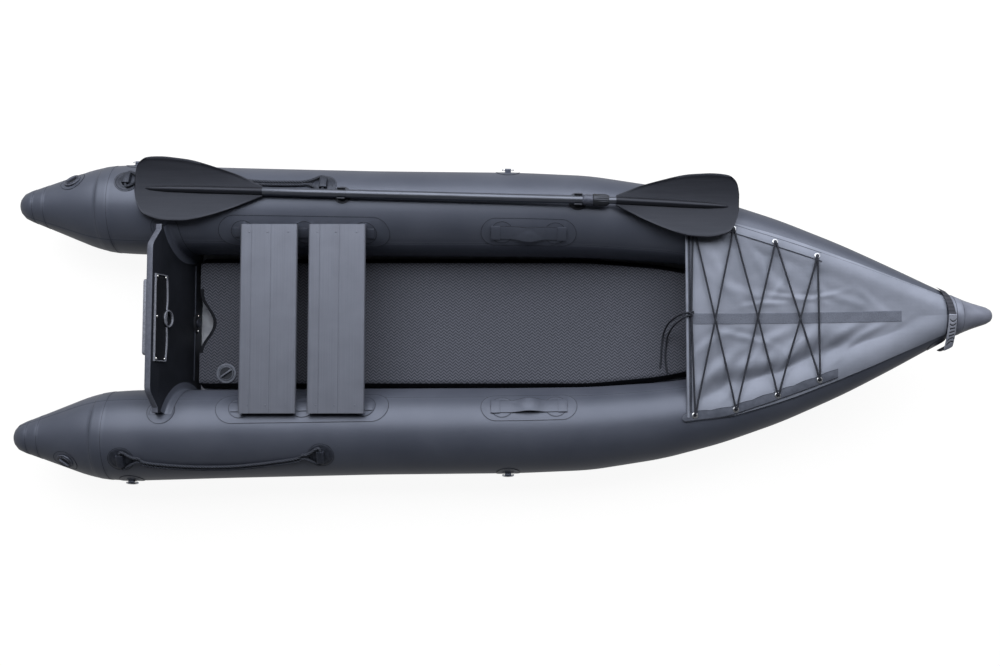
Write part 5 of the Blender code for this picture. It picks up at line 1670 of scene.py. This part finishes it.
# Spray deck: coated cloth pulled over the bow, wrinkled where the lacing and the tubes pull on it
deck = {
    "thick": 0.0015,
    "lift": 0.0009,
    # Along the boat, angle of the edge on the tube
    "edges": [(0.674, 5.0), (0.74, 10.0), (0.82, 16.0), (1.0, 19.0), (1.2, 23.0), (1.35, 30.0), (1.489, 40.0)],
    "rowStep": 0.009,
    "columns": 96,
    # Wrinkles: place along, place across, direction in degrees, length, width, height
    "folds": [
        (0.77, -0.18, 55, 0.16, 0.018, 0.0030), (0.74, -0.10, 35, 0.12, 0.015, 0.0022),
        (0.80, -0.25, 70, 0.10, 0.014, 0.0022), (0.88, -0.16, 48, 0.15, 0.018, 0.0030),
        (0.93, -0.08, 30, 0.13, 0.016, 0.0020), (0.97, -0.17, 60, 0.12, 0.015, 0.0026),
        (1.04, -0.10, 42, 0.13, 0.016, 0.0026), (1.10, -0.13, 62, 0.10, 0.014, 0.0022),
        (1.16, -0.06, 28, 0.12, 0.015, 0.0020), (1.24, -0.07, 38, 0.10, 0.013, 0.0018),
        (1.32, -0.04, 25, 0.08, 0.012, 0.0014), (0.78, 0.16, -52, 0.15, 0.018, 0.0026),
        (0.86, 0.09, -30, 0.12, 0.016, 0.0018), (0.91, 0.18, -62, 0.12, 0.015, 0.0022),
        (1.00, 0.10, -45, 0.14, 0.017, 0.0022), (1.09, 0.12, -58, 0.10, 0.014, 0.0018),
        (1.18, 0.06, -32, 0.11, 0.014, 0.0016), (1.28, 0.05, -40, 0.09, 0.012, 0.0014),
        (1.0, -0.165, 19.5, 0.30, 0.030, -0.0125), (0.87, -0.07, -24, 0.10, 0.011, 0.0026),
        (0.93, 0.045, 12, 0.07, 0.008, 0.0022), (1.02, 0.07, -18, 0.08, 0.008, 0.0024),
        (1.11, 0.075, 20, 0.07, 0.008, 0.0022), (0.97, 0.11, 62, 0.07, 0.008, 0.0022),
        (1.2, -0.11, 40, 0.09, 0.012, 0.0030),
    ],
    "sag": 0.006,
}


def deckAngle(x):
    return alongTable(deck["edges"], x, 0.02)


# across is measured over the cloth from the middle, positive to port
def deckSpot(x, across, lift):
    side = 1 if across >= 0 else -1
    centreY, centreZ, radius = section(x)
    reach = radius + deck["lift"] + lift
    if abs(across) <= centreY:
        return Vector((x, across, centreZ + reach))
    return skinPoint(side, x, math.degrees((abs(across) - centreY) / radius), deck["lift"] + lift)


# How far over the cloth a point on the tube's shoulder is from the middle
def overShoulder(x, angle):
    centreY, _, radius = section(x)
    return centreY + radius * math.radians(angle)


def deckHalf(x):
    return overShoulder(x, deckAngle(x))


def deckWave(x, across):
    centreY, _, radius = section(x)
    free = max(0.0, min(1.0, (centreY - abs(across)) / 0.05))
    free = free * free * (3 - 2 * free)
    low, high = deck["edges"][0][0], deck["edges"][-1][0]
    endward = min(1, (x - low) / 0.05, (high - x) / 0.12)
    wave = -deck["sag"] * free * endward * (0.6 + 0.4 * math.sin(math.pi * min(1, (x - low) / 0.6)))
    for foldX, foldY, direction, long, wide, crest in deck["folds"]:
        turn = math.radians(direction)
        u = (x - foldX) * math.cos(turn) + (across - foldY) * math.sin(turn)
        v = -(x - foldX) * math.sin(turn) + (across - foldY) * math.cos(turn)
        v += 0.012 * math.sin(u * 18 + foldX * 40)
        ridge = math.exp(-((v / wide) ** 2)) - 0.55 * math.exp(-(((v - wide * 1.6) / wide) ** 2))
        wave += crest * ridge * math.exp(-((u / long) ** 2)) * free * 1.25
    slow = noise.noise(Vector((x * 9, across * 9, 3.1)))
    fine = noise.noise(Vector((x * 26, across * 26, 7.7)))
    wave += (0.0016 * slow + 0.0006 * fine) * free
    # The edges are glued, so they pucker only a little, and the tube's shoulder holds the cloth up
    shoulder = -0.85 * max(0, centreY - abs(across)) ** 2 / 2 / radius
    return max(min(wave, 0.0032), shoulder) + 0.0004 * fine * (1 - free)


def deckRows():
    return spread(deck["edges"][0][0], deck["edges"][-1][0], deck["rowStep"])


def addDeck():
    # Extra columns carry the glued edges and the seam by the port edge
    columns = sorted({*spread(-1, 1, 2 / deck["columns"]), -0.988, 0.988, 0.95, 0.9545})

    def place(x, v):
        across = v * deckHalf(x)
        return deckSpot(x, across, max(deckWave(x, across), -0.02) + deck["thick"])

    bm = bmesh.new()
    # The rows aft of 0.68 are painted dark: painted shade in the groove between the hem and the cloth
    layGrid(
        bm, deckRows(), columns, place, lambda x, v: 1 if v < -0.99 or 0.949 < v < 0.951 or x < 0.68 else 0
    )
    bmesh.ops.solidify(bm, geom=bm.faces[:], thickness=deck["thick"] * 0.6)
    return finishPiece("sprayDeckCloth", bm, [deckCloth, glueLineAndShade], "deck", "hull", "spray_deck", sharp=60)


# Doubled strips along the lacing, scalloped along their inner edge
deckTrim = {
    "half": 0.0155,
    "lift": 0.0018,
    "scallop": 0.0035,
    "pitch": 0.069,
    "runs": [(0.6745, 0.0), (0.8, 5.5), (1.0, 4.0), (1.16, 7.5)],
    # Where each strip starts and stops, port and starboard, and its tab's round end
    "ends": {1: (0.6745, 1.116), -1: (0.648, 1.16)},
    "tab": 0.016,
    "eyelets": [(0.691, 0.0), (0.829, 5.5), (0.967, 4.2), (1.102, 6.0)],
    "eyelet": 0.0105,
    "bore": 0.0058,
    # The band down the middle: from, to, half its width
    "band": (0.682, 1.357, 0.0185),
    # The hem: aft, fore, half its width
    "hem": (0.6645, 0.6734, 0.335),
    "hemOutline": [
        (-0.0045, 0), (-0.004, 0.003), (-0.0015, 0.0052), (0.0015, 0.0055), (0.0042, 0.0042), (0.0056, 0.0012),
        (0.0052, 0),
    ],
}


def addDeckTrim():
    over = deck["thick"] + deckTrim["lift"]
    for side, prefix in sides:
        first, last = deckTrim["ends"][side]

        def place(x, v):
            angle = alongTable(deckTrim["runs"], x, 0.03)
            wide = deckTrim["half"]
            if side < 0:
                near = max(0, 1 - (x - first) / deckTrim["tab"])
                wide *= math.sqrt(max(0.04, 1 - near**2))
                if v > 0 and near == 0:
                    wave = abs(math.sin((x - deckTrim["runs"][0][0]) * math.pi / deckTrim["pitch"]))
                    wide += deckTrim["scallop"] * (wave - 0.5)
            turn = angle * side + v * math.degrees(wide / section(x)[2])
            across = side * section(x)[0] + math.radians(turn) * section(x)[2]
            return deckSpot(x, across, over + min(0.0014, max(0, deckWave(x, across))))

        bm = bmesh.new()
        columns = [-1, -0.78, *spread(-0.6, 0.6, 0.2), 0.88, 1]
        # Both edges are painted dark: the narrow band at v = 1 is a glued edge, the wider one at v = -1 is painted
        # shade under the strip's turned-under edge
        layGrid(bm, spread(first, last, 0.004), columns, place, lambda x, v: 1 if v < -0.9 or v > 0.8 else 0)
        bmesh.ops.solidify(bm, geom=bm.faces[:], thickness=0.0011)
        look = deckCloth if side > 0 else deckStrip
        finishPiece(prefix + "DeckStrip", bm, [look, glueLineAndShade], "deck", "hull", sharp=60)

    bm = bmesh.new()
    ring, bore = deckTrim["eyelet"], deckTrim["bore"]
    profile = [(bore, -0.0015), (bore, 0.0008), (bore + 0.0008, 0.0016), (bore + 0.0022, 0.0017)]
    profile += [(ring - 0.0012, 0.0008), (ring, 0.0001), (ring, -0.0005)]
    # A black disc fills each bore: painted shade in the hole where the cord goes in
    plug = [(0, -0.001), (bore + 0.0004, -0.001), (bore + 0.0004, 0.0005), (0, 0.0005)]
    for side, _ in sides:
        for x, angle in deckTrim["eyelets"]:
            here = deckSpot(x, side * overShoulder(x, angle), over + 0.0004)
            matrix = Matrix.Translation(here) @ Matrix.Rotation(-side * math.radians(angle), 4, "X")
            turnProfile(bm, profile, 40, matrix, closed=True)
            boreShadeDisc = turnProfile(bm, plug, 24, matrix)
            for face in {face for vert in boreShadeDisc for face in vert.link_faces}:
                face.material_index = 1
    finishPiece("deckEyelets", bm, [eyeletSteel, nylon], "ring", "hull", sharp=40)

    start, stop, half = deckTrim["band"]

    def bandSpot(x, v):
        return deckSpot(x, v * half, deckWave(x, v * half) + deck["thick"] + 0.0013 - 0.0006 * (abs(v) > 0.95))

    bm = bmesh.new()
    layGrid(bm, spread(start, stop, 0.005), [-1, -0.9, *spread(-0.75, 0.75, 0.25), 0.9, 1], bandSpot)
    bmesh.ops.solidify(bm, geom=bm.faces[:], thickness=0.001)
    finishPiece("deckCentreBand", bm, [loopTape], "deck", "hull", sharp=60)

    aft, fore, half = deckTrim["hem"]
    x = (aft + fore) / 2
    _, centreZ, radius = section(x)
    bm = bmesh.new()
    drawOutline(bm, deckTrim["hemOutline"], -half, half)
    for place in [0, *spread(-half, half, 0.0125)[1:-1]]:
        cutAcross(bm, (0, 0, place), (0, 0, 1))
    for vert in bm.verts:
        u, v, w = vert.co
        pucker = 1 + 0.1 * math.sin(w * 410) + 0.06 * noise.noise(Vector((w * 60, 0, 0)))
        vert.co = (x + u, w, centreZ + radius + 0.0012 + v * pucker)
    finishPiece("deckHem", bm, [deckCloth], "hem", "hull", "deck_batten", sharp=50)
    print("deck trimmed")


# The cloth's flat size, before it was pulled over the bow
def declareDeck():
    rows = deckRows()
    wide = round(2 * deckHalf(rows[0]), 3)
    area = sum((b - a) * (deckHalf(a) + deckHalf(b)) for a, b in zip(rows, rows[1:]))
    print("deck cloth", round(area, 3), "square metres,", wide, "wide")


deckPiece = addDeck()
addDeckTrim()
declareDeck()

# Lacing: one elastic cord through all the eyelets, tied at the deck's edge
lacing = {
    "radius": 0.0032,
    "low": 0.0071,
    "cross": 0.0078,
    "turn": 0.009,
    "knot": (0.6826, 0.0176),
    "knotSize": 0.0066,
}


def addLacing():
    lift = deck["thick"] + deckTrim["lift"] + lacing["low"] - 0.0012
    port, starboard = (
        [deckSpot(x, side * overShoulder(x, angle), lift) for x, angle in deckTrim["eyelets"]]
        for side, _ in sides
    )
    knot = deckSpot(*lacing["knot"], deck["thick"] + lacing["low"])
    corners = [port[0], starboard[1], port[2], starboard[3], port[3], starboard[2], port[1], starboard[0]]
    route = []
    for i, corner in enumerate(corners):
        before = corners[i - 1] if i else knot
        after = corners[i + 1] if i + 1 < len(corners) else knot
        outward = Vector((0, math.copysign(lacing["turn"] * 0.6, corner.y), -0.0012))
        route += easeCorner(before, corner + outward, after, lacing["turn"] * 1.7)
        for share in (k / 12 for k in range(1, 12)):
            # The later runs cross over the earlier ones, and every run sags a little
            hump = lacing["cross"] * math.exp(-(((share - 0.5) / 0.12) ** 2)) if i in (4, 5, 6) else 0
            sag = 0.0008 * math.sin(math.pi * share)
            route.append(tuple(corner.lerp(after, share) + Vector((0, 0, hump - sag))))
    route.append(tuple(knot))
    piece = makeCurve("deckLacing", route, lacing["radius"], bungeeLook, closed=True, resolution=3)
    claim(piece, "lace", "hull", "deck_bungee")
    size = lacing["knotSize"]
    loops = []
    for i in range(48):
        turn = 2 * math.pi * i / 48
        u = size * (math.sin(turn) + 1.6 * math.sin(2 * turn)) / 2
        v = size * (math.cos(turn) - 1.6 * math.cos(2 * turn)) / 2
        loops.append(knot + Vector((u * 0.8, v * 1.1, 0.0022 - 0.0026 * math.sin(3 * turn))))
    piece = makeCurve("deckKnot", loops, lacing["radius"] * 0.95, bungeeLook, closed=True, resolution=3)
    claim(piece, "lace", "hull")
    print("deck laced")


addLacing()

# Carrying strap over the nose, with a moulded grip on it
bowStrap = {
    "x": 1.492,
    "half": 0.0118,
    "thick": 0.0022,
    "port": 74.0,
    "starboard": -96.0,
    # The strap leans forward as it goes round to starboard
    "lean": (60.0, 0.0, 0.0105),
    "seat": 0.0032,
    "rise": 0.021,
    "riseMiddle": -56.0,
    "riseHalf": 52.0,
    "straight": 0.75,
    "risePower": 0.8,
    "gripFrom": -66.0,
    "gripTo": 1.0,
    "gripHalf": 0.014,
    "gripThick": 0.0077,
    "clear": 0.0004,
    "groove": 0.0011,
    # Place along the grip, bend, share of the width
    "grooves": [
        (0.25, -0.11, 0.8), (0.35, -0.09, 0.8), (0.43, 0, 0.58), (0.52, 0, 0.58), (0.61, 0, 0.58),
        (0.69, 0.09, 0.75), (0.80, 0.10, 0.85),
    ],
    # Along the boat, angle on the tube, radius
    "patch": (1.472, 66, 0.025),
}


def nosePoint(x, angle, lift):
    centreY, centreZ, radius = section(x)
    high, low, lean = bowStrap["lean"]
    x += lean * min(1, max(0, (high - angle) / (high - low)))
    turn = math.radians(angle)
    reach = radius + abs(centreY) + lift
    return Vector((x, reach * math.sin(turn), centreZ + reach * math.cos(turn)))


def strapHeight(angle):
    share = min(1, abs(angle - bowStrap["riseMiddle"]) / bowStrap["riseHalf"])
    return bowStrap["seat"] + bowStrap["rise"] * max(0, math.cos(math.pi / 2 * share)) ** bowStrap["risePower"]


# The grip is stiff, so the strap runs nearly straight under it
def strapSpot(angle, across, lift):
    low, high = bowStrap["gripFrom"], bowStrap["gripTo"]
    x = bowStrap["x"] + across
    spot = nosePoint(x, angle, strapHeight(angle))
    if low < angle < high:
        ends = [nosePoint(x, end, strapHeight(end)) for end in (low, high)]
        spot = spot.lerp(ends[0].lerp(ends[1], (angle - low) / (high - low)), bowStrap["straight"])
    turn = math.radians(angle)
    return spot + Vector((0, math.sin(turn), math.cos(turn))) * lift


# Grooves across the grip, from its lower end up: two arches, three bars and two hollows
def gripGroove(s, v):
    deep = 0
    for middle, bend, wide in bowStrap["grooves"]:
        line = middle + bend * v * v
        deep = max(deep, math.exp(-(((s - line) / 0.017) ** 2)) * (abs(v) < wide))
    return deep


def addBowStrap():
    half = bowStrap["half"]
    bm = bmesh.new()
    layGrid(
        bm, spread(bowStrap["starboard"], bowStrap["port"], 2),
        [half * share for share in (-1, -0.9, -0.5, 0, 0.5, 0.9, 1)],
        lambda angle, v: strapSpot(angle, v, bowStrap["thick"] - 0.0005 * (abs(v) > 0.95 * half)),
    )
    bmesh.ops.solidify(bm, geom=bm.faces[:], thickness=bowStrap["thick"] * 0.8)
    finishPiece("bowWebbing", bm, [webbingLook], "webbing", "hull", "bow_webbing", sharp=60)

    low = bowStrap["thick"] + bowStrap["clear"]
    thick = bowStrap["gripThick"]
    wide = bowStrap["gripHalf"]
    start, stop = bowStrap["gripFrom"], bowStrap["gripTo"]
    ring = []
    for i in range(29):
        v = -1 + 2 * i / 28
        ring.append((v, thick * (0.62 + 0.38 * math.sqrt(max(0, 1 - v * v)))))
    ring += [(1.0, thick * 0.4), (0.96, thick * 0.08), (0.88, 0), (0, 0), (-0.88, 0)]
    ring += [(-0.96, thick * 0.08), (-1.0, thick * 0.4), ring[0]]
    folds = numbered(ring)

    def place(s, k):
        v, lift = folds[k]
        angle = start + (stop - start) * s
        end = min(1, 14 * s + 0.62, 14 * (1 - s) + 0.62)
        if lift > thick * 0.5:
            lift -= bowStrap["groove"] * gripGroove(s, v)
        return strapSpot(angle, v * wide * (0.92 + 0.08 * end), low + lift * end)

    def paint(s, k):
        v, lift = folds[k]
        return 1 if lift > thick * 0.5 and gripGroove(s + 0.004, v) > 0.35 else 0

    bm = bmesh.new()
    layGrid(bm, spread(0, 1, 0.0075), sorted(folds), place, paint)
    closeUp(bm, 0.00002)
    finishPiece("bowGrip", bm, [gripRubber, nylon], "grip", "hull", "bow_grip", sharp=50)
    # The round patch that the strap's lower end is glued to
    gluePatch("bowPatch", -1, *bowStrap["patch"])
    print("bow strap glued")


addBowStrap()

# Pale floor, one long softbox to port and a dim room, as the photograph's shading shows
studio = {
    "floorHalf": 14.0,
    "paper": 0.1,
    "glow": 0.93,
    "mirrored": 0.45,
    "room": 0.08,
    # Sines of the height at which the pale backdrop ends: full, gone
    "backdrop": (0.21, 0.57),
    "lamps": [
        # name, place, size, watts, aimed at
        ("portSoftbox", (0.0, 2.96, 3.72), (9.0, 4.6), 640, (0.0, 0.0, 0.2)),
    ],
}


# 1 for the camera, somewhat less in reflections and through glass, 0 for light on the object
def seenDirectly(tree):
    path = addNode(tree, "ShaderNodeLightPath").outputs
    bounced = addMath(tree, "MAXIMUM", {}, {0: path["Is Glossy Ray"], 1: path["Is Transmission Ray"]})
    constants = {1: studio["mirrored"], "use_clamp": True}
    return addMath(tree, "MULTIPLY_ADD", constants, {0: bounced, 2: path["Is Camera Ray"]})


def addRoom():
    world = bpy.data.worlds.new("studioRoom")
    bpy.context.scene.world = world
    world.use_nodes = True
    tree = world.node_tree
    way = addNode(tree, "ShaderNodeTexCoord").outputs["Generated"]
    parts = addNode(tree, "ShaderNodeSeparateXYZ", None, {"Vector": way})
    full, gone = studio["backdrop"]
    span = {"From Min": full, "From Max": gone, "To Min": 1 - studio["room"], "To Max": 0.0}
    band = addNode(tree, "ShaderNodeMapRange", span, {"Value": parts.outputs["Z"]}).outputs["Result"]
    strength = addMath(tree, "MULTIPLY_ADD", {2: studio["room"]}, {0: band, 1: seenDirectly(tree)})
    back = tree.nodes["Background"]
    back.inputs["Color"].default_value = (1, 1, 1, 1)
    tree.links.new(strength, back.inputs["Strength"])


def addPaper():
    # Matt backdrop paper: grey where it would light the boat, white to the eye, with the boat's shadow
    material = bpy.data.materials.new("backdropPaper")
    material.use_nodes = True
    tree = material.node_tree
    shader = tree.nodes["Principled BSDF"]
    shader.inputs["Base Color"].default_value = (studio["paper"],) * 3 + (1,)
    shader.inputs["Roughness"].default_value = 0.95
    shader.inputs["Specular IOR Level"].default_value = 0.0
    shader.inputs["Emission Color"].default_value = (1, 1, 1, 1)
    glow = addMath(tree, "MULTIPLY", {1: studio["glow"]}, {0: seenDirectly(tree)})
    tree.links.new(glow, shader.inputs["Emission Strength"])
    bm = bmesh.new()
    bmesh.ops.create_grid(bm, x_segments=8, y_segments=8, size=studio["floorHalf"])
    mesh = bpy.data.meshes.new("paperFloor")
    bm.to_mesh(mesh)
    bm.free()
    mesh.materials.append(material)
    paper = bpy.data.objects.new("paperFloor", mesh)
    bpy.context.scene.collection.objects.link(paper)


def addLamps():
    for name, place, size, watts, aim in studio["lamps"]:
        lamp = bpy.data.lights.new(name, "AREA")
        lamp.shape = "RECTANGLE"
        lamp.size, lamp.size_y = size
        lamp.energy = watts
        light = bpy.data.objects.new(name, lamp)
        light.location = place
        light.rotation_euler = (Vector(aim) - Vector(place)).to_track_quat("-Z", "Y").to_euler()
        light.visible_camera = False
        bpy.context.scene.collection.objects.link(light)


addRoom()
addPaper()
addLamps()
bpy.context.scene.view_settings.view_transform = "Standard"
print("studio lit")
